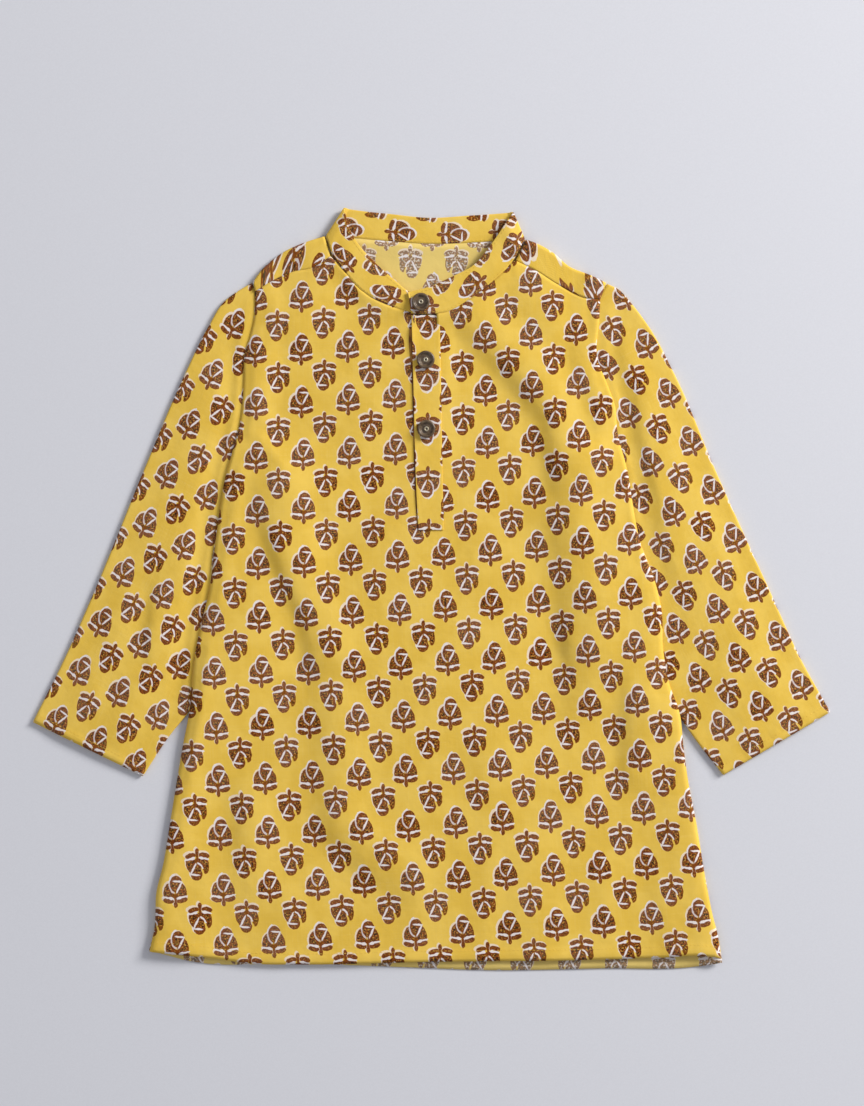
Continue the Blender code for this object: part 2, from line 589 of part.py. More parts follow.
def main():
    clear_scene()
    parts = bpy.data.collections.new("kurta_tunic")
    bpy.context.scene.collection.children.link(parts)
    cotton = material("printed cotton", COTTON)
    band = material("printed cotton band", COTTON_BAND)
    horn = material("dark horn", HORN)
    back_panel(cotton)
    front_panel(cotton)
    sleeve("sleeve_left", UPPER_LEFT, UNDERARM_LEFT, HEAD_LEFT, SLEEVE_FOLDS_LEFT, False, cotton)
    sleeve("sleeve_right", UPPER_RIGHT, UNDERARM_RIGHT, HEAD_RIGHT, SLEEVE_FOLDS_RIGHT, True, cotton)
    collar_band(band)
    placket_strip("placket_under", PLACKET_UNDER, front_height, band)
    placket_strip("placket_over", PLACKET_OVER, over_height, band)
    for name, x, y, face in BUTTONS:
        button(name, x, y, face, horn)


main()
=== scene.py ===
# %% [markdown]
# # A child's printed kurta tunic, laid flat
#
# The real tunic is thin mustard cotton, block printed all over with a brown flower. It lies on
# its back with the sleeves turned down, so nearly everything that shows is a thin sheet of cloth
# with soft, low folds. We build it as a tailor cuts it: a back, a front, two sleeves, a collar
# band, two placket strips and three buttons. Each piece is a grid of points worked out with
# numpy. The large ones get their small thickness from a Solidify modifier, and the doubled strips
# are closed all round. The print, the weave and the dye are shader nodes that read the piece's
# own UV map, so they follow the cloth wherever it goes.
#
# Tables are in millimetres: +X to the right, +Y towards the collar, +Z up from the surface.

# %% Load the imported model
import bpy
import bmesh
import numpy as np
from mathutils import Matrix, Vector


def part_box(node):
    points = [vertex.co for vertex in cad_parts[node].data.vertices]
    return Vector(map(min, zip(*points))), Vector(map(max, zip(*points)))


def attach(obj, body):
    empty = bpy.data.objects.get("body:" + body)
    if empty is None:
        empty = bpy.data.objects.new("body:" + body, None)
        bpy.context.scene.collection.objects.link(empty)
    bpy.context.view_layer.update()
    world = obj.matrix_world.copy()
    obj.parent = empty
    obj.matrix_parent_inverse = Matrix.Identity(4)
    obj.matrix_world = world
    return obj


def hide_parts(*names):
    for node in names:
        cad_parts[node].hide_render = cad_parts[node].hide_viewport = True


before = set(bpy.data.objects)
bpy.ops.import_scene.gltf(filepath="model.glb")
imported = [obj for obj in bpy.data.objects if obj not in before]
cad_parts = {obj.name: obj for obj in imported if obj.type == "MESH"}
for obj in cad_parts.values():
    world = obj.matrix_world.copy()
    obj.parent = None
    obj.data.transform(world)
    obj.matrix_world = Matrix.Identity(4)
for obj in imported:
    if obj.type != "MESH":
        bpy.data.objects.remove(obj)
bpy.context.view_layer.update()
MM = 0.001

# %% [markdown]
# ## The camera
# The tunic was seen from straight above, with a long lens. A camera that isn't turned looks
# straight down with +Y up in the picture, so only its place and its lens have to be set. The
# lens follows from similar triangles: sensor size over lens is picture size over distance.

# %% Camera straight above
CAMERA_AT = (0.0003, 0.0248, 1.8)
PICTURE_HIGH = 0.7742       # how much of the surface the long side of the picture covers
SENSOR_WIDE = 36.0          # mm


def new_object(name, data):
    """Puts a mesh, a lamp or a camera in the scene."""
    thing = bpy.data.objects.new(name, data)
    bpy.context.scene.collection.objects.link(thing)
    return thing


camera = new_object("camera", bpy.data.cameras.new("camera"))
camera.location = CAMERA_AT
camera.data.sensor_width = SENSOR_WIDE
camera.data.lens = SENSOR_WIDE * CAMERA_AT[2] / PICTURE_HIGH
bpy.context.scene.camera = camera
print("lens, mm:", round(camera.data.lens, 1))

# %% [markdown]
# ## Smooth lines from a few measured points
# A cut edge of cloth is a smooth line. We measure a few points on it and let cubic spans run
# through them. Walking along such a line at even steps, and asking for its x at some y, are the
# two other things that every piece below needs.

# %% Curves through measured points
PATH_SPANS, LOOKUP_SPANS = 24, 12     # points per span, to walk along a line or to look up in it


def spline(rows, per_span):
    """A smooth curve through the rows: cubic spans whose slope at a row is the length-weighted
    mean of the slopes to its two neighbours."""
    knots = np.array(rows, float)
    steps = np.diff(knots, axis=0)
    length = np.linalg.norm(steps, axis=1)[:, None]
    slope = steps / length
    middle = (slope[:-1] * length[1:] + slope[1:] * length[:-1]) / (length[1:] + length[:-1])
    tangent = np.vstack([slope[:1], middle, slope[-1:]])
    t = np.linspace(0.0, 1.0, per_span, endpoint=False)[None, :, None]
    start, end = knots[:-1, None], knots[1:, None]
    leave, arrive = (tangent[:-1] * length)[:, None], (tangent[1:] * length)[:, None]
    points = ((2 * t**3 - 3 * t**2 + 1) * start + (t**3 - 2 * t**2 + t) * leave
              + (3 * t**2 - 2 * t**3) * end + (t**3 - t**2) * arrive)
    return np.vstack([points.reshape(-1, knots.shape[1]), knots[-1:]])


def read_off(wanted, run, rows):
    """The rows at the wanted distances, where run is the distance at which each row stands."""
    return np.column_stack([np.interp(wanted, run, column) for column in rows.T])


def path_at(rows, fractions):
    """Points at the given fractions of the length of the smooth curve through the rows."""
    dense = spline(rows, PATH_SPANS)
    run = run_along(dense, 0)
    return read_off(np.asarray(fractions) * run[-1], run, dense)


def x_on(rows, y):
    """The x of a path that climbs steadily, at the heights y."""
    dense = spline(sorted(rows, key=lambda row: row[1]), LOOKUP_SPANS)
    return np.interp(y, dense[:, 1], dense[:, 0])


def y_on(rows, x):
    """The y of a path that runs steadily to the right, at the places x."""
    dense = spline(rows, LOOKUP_SPANS)
    return np.interp(x, dense[:, 0], dense[:, 1])


def unit(vectors):
    """Vectors of the same direction and of length 1: each over its own length."""
    return vectors / np.linalg.norm(vectors, axis=-1)[..., None]


def bell(distance, width):
    """1 at no distance, fading on both sides: e to minus the square of distance over width."""
    return np.exp(-((distance / width) ** 2))


def ease(value):
    """0 below 0, 1 above 1, and a smooth S between: 3t² - 2t³."""
    t = np.clip(value, 0.0, 1.0)
    return t * t * (3 - 2 * t)


def patch(bottom, top, left, right, across, up):
    """A Coons patch: the blend of the bottom and top lines, plus the blend of the left and right
    lines, less the blend of the four corners that both of them hold."""
    u, v = np.asarray(across)[None, :, None], np.asarray(up)[:, None, None]
    corners = ((1 - u) * (1 - v) * bottom[0] + u * (1 - v) * bottom[-1]
               + (1 - u) * v * top[0] + u * v * top[-1])
    return ((1 - v) * bottom[None] + v * top[None]
            + (1 - u) * left[:, None] + u * right[:, None] - corners)


def side_by_side(patches):
    """Neighbouring patches joined, each shared column kept once."""
    return np.concatenate([patches[0]] + [p[:, 1:] for p in patches[1:]], axis=1)


def run_along(points, axis):
    """Distance from a grid's first line, added up step by step along the rows or columns."""
    step = np.linalg.norm(np.diff(points, axis=axis), axis=-1)
    run = np.cumsum(step, axis=axis)
    return np.concatenate([np.zeros_like(np.take(run, [0], axis=axis)), run], axis=axis)


print("a spline through 3 rows has", len(spline([(0, 0), (1, 2), (3, 3)], LOOKUP_SPANS)), "points")

# %% [markdown]
# ## The outline
# These are the seam lines and edges of the garment as it lies, a few points each. They are the
# same ones that the solid model is cut from, so the cloth lies where the solids are.

# %% Edges of the front and back
HEM_FRONT = [
    (-197, -253.7), (-151.5, -258.6), (-127, -262.1), (-92, -262.8), (5.9, -260.8),
    (117.9, -259.3), (159.9, -257.9), (190, -256.5), (201.9, -258),
]
HEM_BACK = [
    (-197.5, -253), (-169, -260.8), (-92, -262.4), (-22, -264.9), (40.9, -267.1), (117.9, -265.9),
    (187.9, -264.2), (203.2, -261.4),
]

# The body's side edge, from the hem up to where it meets the armhole
SIDE_LEFT = [
    (-197, -253.7), (-193.5, -236.2), (-192.1, -211), (-187.9, -194.2), (-182.3, -160.6),
    (-173.9, -110.2), (-169, -84.3), (-166.2, -51.4), (-162, -29), (-155.8, -3.1), (-150.8, 33.9),
    (-143.8, 78.8),
]
SIDE_RIGHT = [
    (201.9, -258), (200.5, -244.6), (196.3, -227.8), (191.4, -202.6), (184.4, -160.6),
    (179.5, -135.4), (176, -110.2), (173.2, -86.4), (166.2, -66.8), (162, -43.8), (160.6, -14.3),
    (155.8, 5.9), (146.6, 29.7), (139.9, 63.3),
]

# The front's armhole edge, which lies on the sleeve's head
FRONT_ARMHOLE_LEFT = [
    (-139.6, 94.1), (-133.5, 117.9), (-131.2, 144.5), (-130.5, 164.1), (-126.6, 176.8),
    (-123.8, 189.3), (-123.4, 207.5),
]
FRONT_ARMHOLE_RIGHT = [
    (137.3, 80.1), (129.7, 110.9), (128.3, 127), (122.7, 143.1), (115.7, 161.3), (117.1, 186.5),
    (117.8, 201.9),
]
print("hem width, mm:", HEM_FRONT[-1][0] - HEM_FRONT[0][0])

# %% [markdown]
# ## The sleeves' outline, the collar's path and the large folds
# The sleeves and shoulders are measured in the same way. The collar band needs both its edges
# and its height at each place, and a large fold needs its two ends, a height and a width.

# %% Edges of the sleeves and shoulders
# A sleeve's head (its armhole end), its underarm edge and its upper edge
HEAD_LEFT = [
    (-125.6, 213.8), (-121.8, 201.9), (-121.4, 183.8), (-122.8, 166.9), (-124.9, 142.4),
    (-126, 117.9), (-124, 98), (-118, 83), (-108, 70),
]
HEAD_RIGHT = [
    (122.8, 213.1), (116.1, 203.8), (115.1, 186.5), (113.7, 161.3), (120.2, 143.1), (125.3, 127),
    (126, 110.9), (123.5, 95), (117.5, 82), (108, 70),
]
UNDERARM_LEFT = [
    (-108, 70), (-124, 25), (-141, -28), (-157.8, -66.8), (-169.8, -86.4), (-182.3, -101.8),
    (-201.9, -131.2),
]
UNDERARM_RIGHT = [
    (108, 70), (124, 25), (141, -22), (155.8, -59.5), (173.2, -89.2), (187.9, -110.2),
    (204, -130.5),
]
UPPER_LEFT = [
    (-125.6, 213.8), (-134, 208.9), (-145.2, 200.5), (-155.8, 183.8), (-172.5, 150.1),
    (-201.2, 82.9), (-235.5, -1), (-257.9, -51.4), (-278.9, -93.4),
]
UPPER_RIGHT = [
    (122.8, 213.1), (131.2, 208.9), (138.9, 200.5), (151.5, 183.8), (169.8, 150.1), (198.4, 82.9),
    (236.2, -1), (259.3, -51.4), (278.9, -86.4),
]

# Shoulders: the fold at the outline, and the seam that lies forward of it on the front
FOLD_LEFT = [
    (-124.9, 214.4), (-118.6, 222.9), (-105.3, 234.1), (-87.1, 242.5), (-75, 246.2),
]
FOLD_RIGHT = [
    (66.5, 243.9), (72, 241.9), (85.8, 234.1), (95.5, 225.7), (113, 218.3), (122.1, 213.6),
]
YOKE_LEFT = [
    (-123.4, 207.5), (-117.9, 211), (-96.2, 221.5), (-84.3, 223.6), (-70.6, 232),
]
YOKE_RIGHT = [
    (58.7, 228.9), (72.4, 222.2), (87.1, 213.1), (107.4, 203.3), (117.8, 201.9),
]

# The slit in the front that the placket fills, as the x of its two edges at three heights
SLIT = [(-260.8, 0.3, 14.3), (44.4, -8, 7), (192, -12.2, 3.5)]
SLIT_FOOT_Y = 44.4

# Placket strips, as (y, left x, right x)
PLACKET_OVER = [(190.9, -14.3, 5.9), (150, -13.2, 6.7), (52.1, -10.1, 8.5), (40.9, -9.4, 8.8)]
PLACKET_UNDER = [(188.6, -11.8, 3), (116, -9.7, 4.8), (44.9, -7.6, 6.5)]

# Collar band, from its left front end round the back to its right front end: the seam edge,
# the free edge and the height of the band's middle
COLLAR = [
    # seam x, seam y, edge x, edge y, height
    (3.1, 190.9, 3.1, 204, 3),
    (-13.6, 192.9, -15.7, 207.5, 3),
    (-27.6, 197, -25.5, 215.2, 3.6),
    (-47.2, 206.8, -38.8, 227.1, 4.4),
    (-60.5, 220.8, -52.1, 241.8, 5),
    (-69.6, 233.8, -58.4, 254.4, 5.2),
    (-71.8, 241, -59.8, 260.6, 5.2),
    (-73, 246.6, -60.7, 265.9, 3.1),
    (-68, 246.3, -57.6, 265.3, 1.1),
    (-60.5, 245.7, -51.5, 264.4, 0.8),
    (-33.2, 243.2, -30.4, 262.1, 0.8),
    (-1, 241.1, -1, 259.3, 0.8),
    (26.9, 241.8, 25.5, 260.8, 0.8),
    (52.5, 243.5, 47, 262.2, 0.8),
    (59.8, 244, 53, 262.7, 1.1),
    (64.4, 244.6, 56.6, 263, 3.1),
    (62, 238.5, 53.2, 257.6, 5.2),
    (55.9, 227.4, 44.5, 244.5, 5.2),
    (42.3, 214.2, 30, 226.5, 5.2),
    (26.9, 202.3, 16.4, 218.8, 5.1),
    (9.6, 193, -1, 211, 4.9),
    (-14.3, 192, -16.4, 206.8, 4.9),
]

# Large folds of the front, as soft ridges from one end to the other
FOLDS = [
    # x from, y from, x to, y to, height, width
    (26, 196, 72, 152, 2.8, 13),  # from the collar over the right chest
    (72, 152, 101, 92, 2.8, 13),
    (101, 92, 103, 35, 1.9, 13),
    (114, -5, 113, -75, 1.9, 14),  # right flank
    (148, -80, 147, -128, 1.5, 11),
    (-104, 74, -93, 27, 2.5, 13),  # from the left armpit down to the hem
    (-93, 27, -66, -46, 2.5, 13),
    (-63, -85, -61, -150, 1.7, 15),
    (-58, -165, -14, -198, 1.9, 13),
    (-20, 30, 20, -140, 1.2, 50),  # broad slack over the middle
    (-126, -148, -124, -205, 1.3, 13),
    (70, -190, 78, -262, 1.3, 18),
    (-72, 232, -96, 186, 2.6, 15),  # held up by the collar at each shoulder
    (60, 230, 84, 186, 2.6, 15),
]

# Large folds of the sleeves: fraction from head to cuff, fraction across from the upper edge
SLEEVE_FOLDS_LEFT = [
    # along from, across from, along to, across to, height, width along, width across
    (0.10, 0.45, 0.42, 0.40, 1.5, 0.16, 0.24),
    (0.50, 0.62, 0.86, 0.58, 1.7, 0.14, 0.20),
    (0.72, 0.28, 0.96, 0.30, 0.9, 0.10, 0.16),
]
SLEEVE_FOLDS_RIGHT = [
    (0.08, 0.40, 0.38, 0.52, 1.7, 0.14, 0.22),
    (0.44, 0.40, 0.92, 0.44, 1.3, 0.16, 0.26),
]
print("large folds placed:", len(FOLDS) + len(SLEEVE_FOLDS_LEFT) + len(SLEEVE_FOLDS_RIGHT))

# %% [markdown]
# ## How high the cloth lies
# A garment on a table is a stack of thin layers. The back lies on the surface, the sleeves' inner
# edges are tucked under the body and lift it, and the front lies over all of that with some
# slack in it. One height rule does the whole front, so that every piece that touches it can
# ask the same rule. Folds are soft ridges: a bell curve of the distance to a short line.

# %% Height of the layers
CLOTH, SEAM = 1.0, 0.3      # room that one layer takes, and the gap between two
LAP = 0.1                   # extra room where the front lies on a sleeve's head
SLEEVE_ROLL = 1.3           # radius of a sleeve's pressed edges
SLEEVE_THICK = 2 * SLEEVE_ROLL
LIFT = SLEEVE_THICK + SEAM
RAMP_START, RAMP = 4.0, 18.0
FRONT_RAMP = 60.0           # the front bridges the step over a sleeve far more gently
LIFTED_BELOW, ARMPIT_BLEND = 92.0, 20.0
SLACK, SLACK_MOST = 0.9, 3.2          # room under the front without folds, and at most
SIDE_SLOPE = 16.0                     # it closes over this distance from the side
PLACKET_X, PLACKET_FOOT, PLACKET_HALF, PLACKET_SLACK = -3.0, 40.9, 17.0, 1.5
PRESSED_BELOW, PRESSED_FADE = 20.0, 30.0      # the pressed zone fades out below the placket
TUCK_MARGIN = 4.0           # a sleeve is flat this far outside the body's edge


def over_sleeve(x, y, ramp=RAMP):
    """1 over a sleeve, falling to 0 across a ramp on its body side."""
    left = x - x_on(HEAD_LEFT + UNDERARM_LEFT[1:], y)
    right = x_on(HEAD_RIGHT + UNDERARM_RIGHT[1:], y) - x
    return 1 - ease((np.where(x < 0, left, right) - RAMP_START) / ramp)


def below_armpit(y):
    """1 where the body lies on the sleeves, 0 above the armpits."""
    return ease((LIFTED_BELOW + ARMPIT_BLEND - y) / ARMPIT_BLEND)


def back_height(x, y):
    """Underside of the back: on the surface, lifted where a sleeve's edge is tucked under."""
    return LIFT * below_armpit(y) * over_sleeve(x, y)


def from_line(x, y, x_from, y_from, x_to, y_to):
    """Where points lie from a line between two ends: the share of the way along it, and the
    offset from the nearest place on it. The share is the offset from the first end, times the
    line's own run, over that run's square, kept between 0 and 1."""
    run_x, run_y = x_to - x_from, y_to - y_from
    along = ((x - x_from) * run_x + (y - y_from) * run_y) / (run_x**2 + run_y**2)
    along = np.clip(along, 0.0, 1.0)
    return along, x - x_from - along * run_x, y - y_from - along * run_y


def ridges(x, y, table):
    """The sum of soft ridges: each one's height times a bell curve of the distance to the line
    between its two ends."""
    total = np.zeros_like(x)
    for *ends, height, width in table:
        _, off_x, off_y = from_line(x, y, *ends)
        total += height * bell(np.hypot(off_x, off_y), width)
    return total


def from_side(x, y):
    """How far a point lies inside the body's side seam."""
    left = x - x_on(SIDE_LEFT + FRONT_ARMHOLE_LEFT, y)
    right = x_on(SIDE_RIGHT + FRONT_ARMHOLE_RIGHT, y) - x
    return np.minimum(left, right)


def pressed(x, y):
    """1 in the pressed zone round the placket, fading out across it and below it."""
    across = np.exp(-(((x - PLACKET_X) / PLACKET_HALF) ** 4))
    return across * ease((y - PLACKET_FOOT + PRESSED_BELOW) / PRESSED_FADE)


def front_top(x, y):
    """Outer face of the front: the back's height, two layers, the room over the sleeves, and a
    slack that closes at the sides and is pressed flat at the placket."""
    near, low = over_sleeve(x, y, FRONT_RAMP), below_armpit(y)
    on_head = (LIFT - CLOTH - SEAM + LAP) * (1 - low) * over_sleeve(x, y)
    slack = SLACK_MOST * np.tanh((SLACK + ridges(x, y, FOLDS)) / SLACK_MOST)
    slack = slack * ease(from_side(x, y) / SIDE_SLOPE)
    flat = pressed(x, y)
    slack = slack * (1 - flat) + PLACKET_SLACK * flat
    return LIFT * low * near + 2 * CLOTH + SEAM + on_head + slack


x_row = np.array([-150.0, -75.0, 0.0, 75.0, 150.0])
print("front's height at the chest, mm:", front_top(x_row, 0 * x_row + 40.0).round(1))

# %% [markdown]
# ## Drapes and creases placed one by one
# Large folds are in the height rule. On top of them lie drapes, where the cloth falls sharply
# from a high side to a low one and throws a clear shadow along a path. Small creases come last:
# fine lines that fan out from an armpit, a dent beside a seam, a soft wave across the chest.
# All are listed as points, how high they stand and how wide they are. None is repeated
# evenly, because even creases look like corrugated board.

# %% Drapes: where the cloth falls from a high side to a low one
DRAPES_FRONT = [
    # width, then points of a path as x, y, height; the cloth is high on the path's left hand
    (8.5, [(2, 196, 0.4), (26, 174, 0.7), (48, 152, 1), (79, 118, 1.3),
           (83, 76, 1.2), (86, 60, 0.2)]),  # over the right chest
    (10, [(84, 38, 0.6), (90, 0, 0.9), (90, -44, 0.8)]),
    (6, [(90, -18, 0.3), (93, -42, 1), (95, -56, 0.2)]),
    (9, [(93, -66, 0.5), (94, -90, 0.4)]),
    (6.5, [(133, -64, 0.5), (133, -128, 0.8)]),  # right flank
    (6.5, [(-124, 66, 0.3), (-116, 36, 1.2), (-104, 4, 1.2), (-92, -22, 1.1),
           (-86, -50, 0.9), (-84, -60, 0.2)]),  # from the left armpit down
    (11, [(-84, -60, 0.5), (-80, -110, 0.5)]),
    (10, [(-80, -140, 0.5), (-74, -172, 1), (-48, -198, 0.9), (-26, -214, 0.4)]),
    (8, [(-136, -156, 0.7), (-138, -172, 0.7)]),
    (4.5, [(114.5, 196, 0.8), (114.5, 180, 0.8)]),  # beside the right armhole
    (12, [(22, 40, 0.5), (24, 20, 0.5)]),
    (12, [(30, -118, 0.6), (31, -138, 0.6)]),
    (5, [(-166, -60, 0.5), (-172, -110, 0.8), (-180, -175, 0.8)]),
    (6, [(150, 54, 0.5), (152, 20, 0.5)]),
]
DRAPES_SLEEVE_LEFT = [
    (5, [(-195, -4, 0.6), (-199, -30, 0.9), (-199, -52, 0.5)]),
    (5.5, [(-131, 196, 0.4), (-136, 172, 0.7), (-137, 140, 0.8), (-143, 104, 0.8),
           (-150, 74, 0.7), (-156, 34, 0.7), (-163, -6, 0.8), (-169, -44, 0.9),
           (-174, -78, 0.8)]),  # beside the body
]
DRAPES_SLEEVE_RIGHT = [
    (9, [(143, 138, 0.4), (144, 104, 0.6), (150, 68, 0.3)]),
    (5, [(127, 190, -0.4), (124, 164, -0.5), (134, 124, -0.4), (146, 84, -0.2)]),
]
DRAPE_STEEP = 1.65                    # slope on the path itself
DRAPE_CORE, DRAPE_REACH = 1.3, 5.0    # how soon the cloth comes back, and where it ends, in widths


def drapes(x, y, table):
    """The sum of drapes. Each is the distance across its path, over its width, over one plus the
    square of that distance, and it fades out further away. So the cloth falls steeply on the
    path itself and comes back slowly on both sides of it, as a real drape does."""
    total = np.zeros_like(x)
    for width, path in table:
        nearest, height = np.full_like(x, np.inf), np.zeros_like(x)
        last = len(path) - 2
        for step, (begin, finish) in enumerate(zip(path[:-1], path[1:])):
            (x_from, y_from, start), (x_to, y_to, end) = begin, finish
            run_x, run_y = x_to - x_from, y_to - y_from
            along, off_x, off_y = from_line(x, y, x_from, y_from, x_to, y_to)
            off = np.hypot(off_x, off_y)
            across = (run_x * (y - y_from) - run_y * (x - x_from)) / np.hypot(run_x, run_y)
            beyond = ((along <= 0.0) & (step == 0)) | ((along >= 1.0) & (step == last))
            across = np.where(beyond, across, np.sign(across) * off)
            value = DRAPE_STEEP * (start + (end - start) * along) * across / width
            value = value / (1 + (off / (DRAPE_CORE * width)) ** 2)
            value = value * bell(off, DRAPE_REACH * width)
            height = np.where(off < nearest, value, height)
            nearest = np.minimum(off, nearest)
        total += height
    return total


print("drapes placed:", len(DRAPES_FRONT) + len(DRAPES_SLEEVE_LEFT) + len(DRAPES_SLEEVE_RIGHT))

# %% [markdown]
# ## Small creases, edges and hems
# A small crease is a ridge like a large fold, only lower. Near an edge the cloth rounds over, and
# a hem that is turned twice stands up as a low step with its row of stitches pressed in.

# %% Small creases
CREASES_FRONT = [
    # x from, y from, x to, y to, height, width
    (118, 150, 96, 132, 0.35, 5),  # fan from the right armpit
    (124, 122, 102, 108, 0.35, 4.5),
    (130, 92, 104, 84, 0.4, 5),
    (-118, 104, -104, 86, 0.6, 5),  # fan from the left armpit
    (-124, 122, -103, 112, 0.4, 4.5),
    (-123, 180, -127, 110, 0.7, 5),  # the armhole and side seams stand up a little
    (-134, 80, -150, -10, 0.9, 6),
    (-156, -40, -170, -130, 0.9, 6),
    (-176, -140, -188, -236, 0.6, 6),
    (148, 20, 158, -50, 0.4, 6),
    (164, -60, 178, -140, 0.4, 6),
    (180, -150, 192, -240, 0.3, 6),
    (-40, 120, -62, 60, 0.35, 12),
    (40, -190, 36, -255, 0.5, 9),
    (-10, -215, -14, -258, 0.45, 9),
    (-100, -218, -104, -258, 0.5, 10),
    (120, -200, 126, -256, 0.5, 10),
    (160, -206, 168, -254, 0.5, 8),
    (-160, -206, -168, -252, 0.4, 8),
]
CREASES_BACK = [
    (-120, 60, -70, -40, 0.5, 12), (-70, -40, -64, -170, 0.4, 14), (110, 80, 86, -20, 0.5, 13),
    (86, -20, 104, -150, 0.4, 12), (-20, 190, 26, 60, 0.4, 16), (10, 20, -18, -120, 0.35, 18),
    (-140, -170, -132, -250, 0.4, 9), (40, -180, 52, -258, 0.45, 10),
    (150, -160, 158, -252, 0.4, 9),
]
CREASES_SLEEVE_LEFT = [
    (-156, 150, -170, 110, 0.3, 9), (-198, 40, -214, -6, 0.3, 10), (-186, -20, -206, -44, 0.4, 8),
    (-216, -30, -238, -76, 0.4, 10), (-204, -66, -218, -104, 0.5, 9),
    (-232, -40, -226, -72, -0.3, 7),
]
CREASES_SLEEVE_RIGHT = [
    (134, 176, 148, 140, 0.4, 8), (150, 124, 166, 84, 0.3, 9), (176, 20, 172, -22, -0.3, 8),
    (196, 44, 212, -4, 0.3, 10), (214, -30, 240, -78, 0.4, 9), (206, -62, 222, -102, 0.4, 9),
]
EDGE_ROLL = 3.0             # the cloth rounds over within this distance of an edge
HEM_DEPTH, CUFF_DEPTH = 7.5, 6.0
HEM_RISE, HEM_STEP = 0.35, 1.6        # a turned hem is three layers thick, and ends in a step
PUCKER, PUCKER_WIDE = 0.07, 3.4       # puckers along the stitches, and how far they reach
STITCH_DENT, STITCH_DENT_WIDE = 0.16, 0.9     # the thread presses the cloth in


def round_over(distance, depth, radius=EDGE_ROLL):
    """How far the cloth drops near an edge: a quarter of an ellipse, `depth` deep and `radius`
    wide."""
    near = 1 - np.clip(distance / radius, 0.0, 1.0)
    return depth * (1 - np.sqrt(1 - near**2))


def turned_hem(distance, along, depth):
    """Extra height of a turned hem: a step that ends at the stitch line, with a dent under the
    thread and small uneven puckers, three sines along the edge whose lengths share no beat."""
    past_line = distance - depth
    step = HEM_RISE * ease((HEM_STEP / 2 - past_line) / HEM_STEP)
    pucker = np.sin(along / 1.9) + 0.8 * np.sin(along / 1.27 + 2.0) + 1.1 * np.sin(along / 4.3)
    dent = STITCH_DENT * bell(past_line, STITCH_DENT_WIDE)
    return step + PUCKER * pucker * bell(past_line, PUCKER_WIDE) - dent


def small_waves(x, y):
    """A very low unevenness of the whole cloth: crossed sines of different lengths and turns."""
    return (0.10 * np.sin(x / 23.0 + 0.7 * np.sin(y / 41.0)) * np.sin(y / 31.0 + 1.0)
            + 0.06 * np.sin((x + 0.6 * y) / 11.0 + 1.3 * np.sin(y / 27.0))
            * np.sin((y - 0.3 * x) / 17.0))


print("creases placed:", len(CREASES_FRONT) + len(CREASES_BACK)
      + len(CREASES_SLEEVE_LEFT) + len(CREASES_SLEEVE_RIGHT))

# %% [markdown]
# ## From a grid of points to a piece of cloth
# A grid of points becomes quads between neighbouring rows and columns. The same grid carries the
# print: each corner of each quad stores where it is on the printed cloth, counted in repeats of
# the pattern. A Solidify modifier then gives the sheet its thickness, inwards, so the outer face
# stays where we put it, and its second material is the wrong side of the cloth.

# %% Mesh helpers
SHEET = 0.45                # thickness of the cotton as drawn
PRINT_MAP = "print"


def quads_between(index):
    """The corners of the quads between neighbouring rows and columns of a grid of point numbers.
    The last column of quads joins the grid's last column to its first."""
    right = np.roll(index, -1, axis=1)
    return np.stack([index[:-1], right[:-1], right[1:], index[1:]], axis=-1)


def grid_mesh(name, points, cells_uv, closed=False, keep=None, flip=False):
    """Quads over a grid of points in millimetres. A closed grid joins its last column to its
    first, and then its print grid has one column more, so that the pattern ends at the seam."""
    rows, columns = points.shape[:2]
    quads = quads_between(np.arange(rows * columns).reshape(rows, columns))
    quads = quads if closed else quads[:, :-1]
    low, high = cells_uv[:-1], cells_uv[1:]
    corners = np.stack([low[:, :-1], low[:, 1:], high[:, 1:], high[:, :-1]], axis=2)
    if flip:
        quads, corners = quads[..., ::-1], corners[:, :, ::-1]
    if keep is not None:
        quads, corners = quads[keep], corners[keep]
    used, quads = np.unique(quads.reshape(-1, 4), return_inverse=True)
    mesh = bpy.data.meshes.new(name)
    places = points.reshape(-1, 3)[used] * MM
    mesh.from_pydata(places.tolist(), [], quads.reshape(-1, 4).tolist())
    layer = mesh.uv_layers.new(name=PRINT_MAP)
    layer.data.foreach_set("uv", corners.reshape(-1).astype(np.float32))
    mesh.shade_smooth()
    return mesh


def add_piece(name, mesh, *materials):
    """Puts a mesh in the scene as a piece of the garment that goes with its one body."""
    for material in materials:
        mesh.materials.append(material)
    piece = new_object(name, mesh)
    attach(piece, "root")
    return piece


def add_cloth(name, mesh, outer, inner, thickness=SHEET):
    """A piece of cloth: the mesh is its outer face, and the wall grows inwards from it."""
    piece = add_piece(name, mesh, outer, inner)
    wall = piece.modifiers.new("thickness", "SOLIDIFY")
    wall.thickness = thickness * MM
    wall.offset = -1.0
    wall.material_offset = 1
    wall.material_offset_rim = 0
    return piece


def laid_area(points, keep=None):
    """Area of a grid in square metres: half the cross product of the two diagonals of a quad."""
    one = points[1:, 1:] - points[:-1, :-1]
    other = points[1:, :-1] - points[:-1, 1:]
    area = np.linalg.norm(np.cross(one, other), axis=-1) / 2
    return float(area.sum() if keep is None else area[keep].sum()) * MM**2


print("cloth is drawn", SHEET, "mm thick")

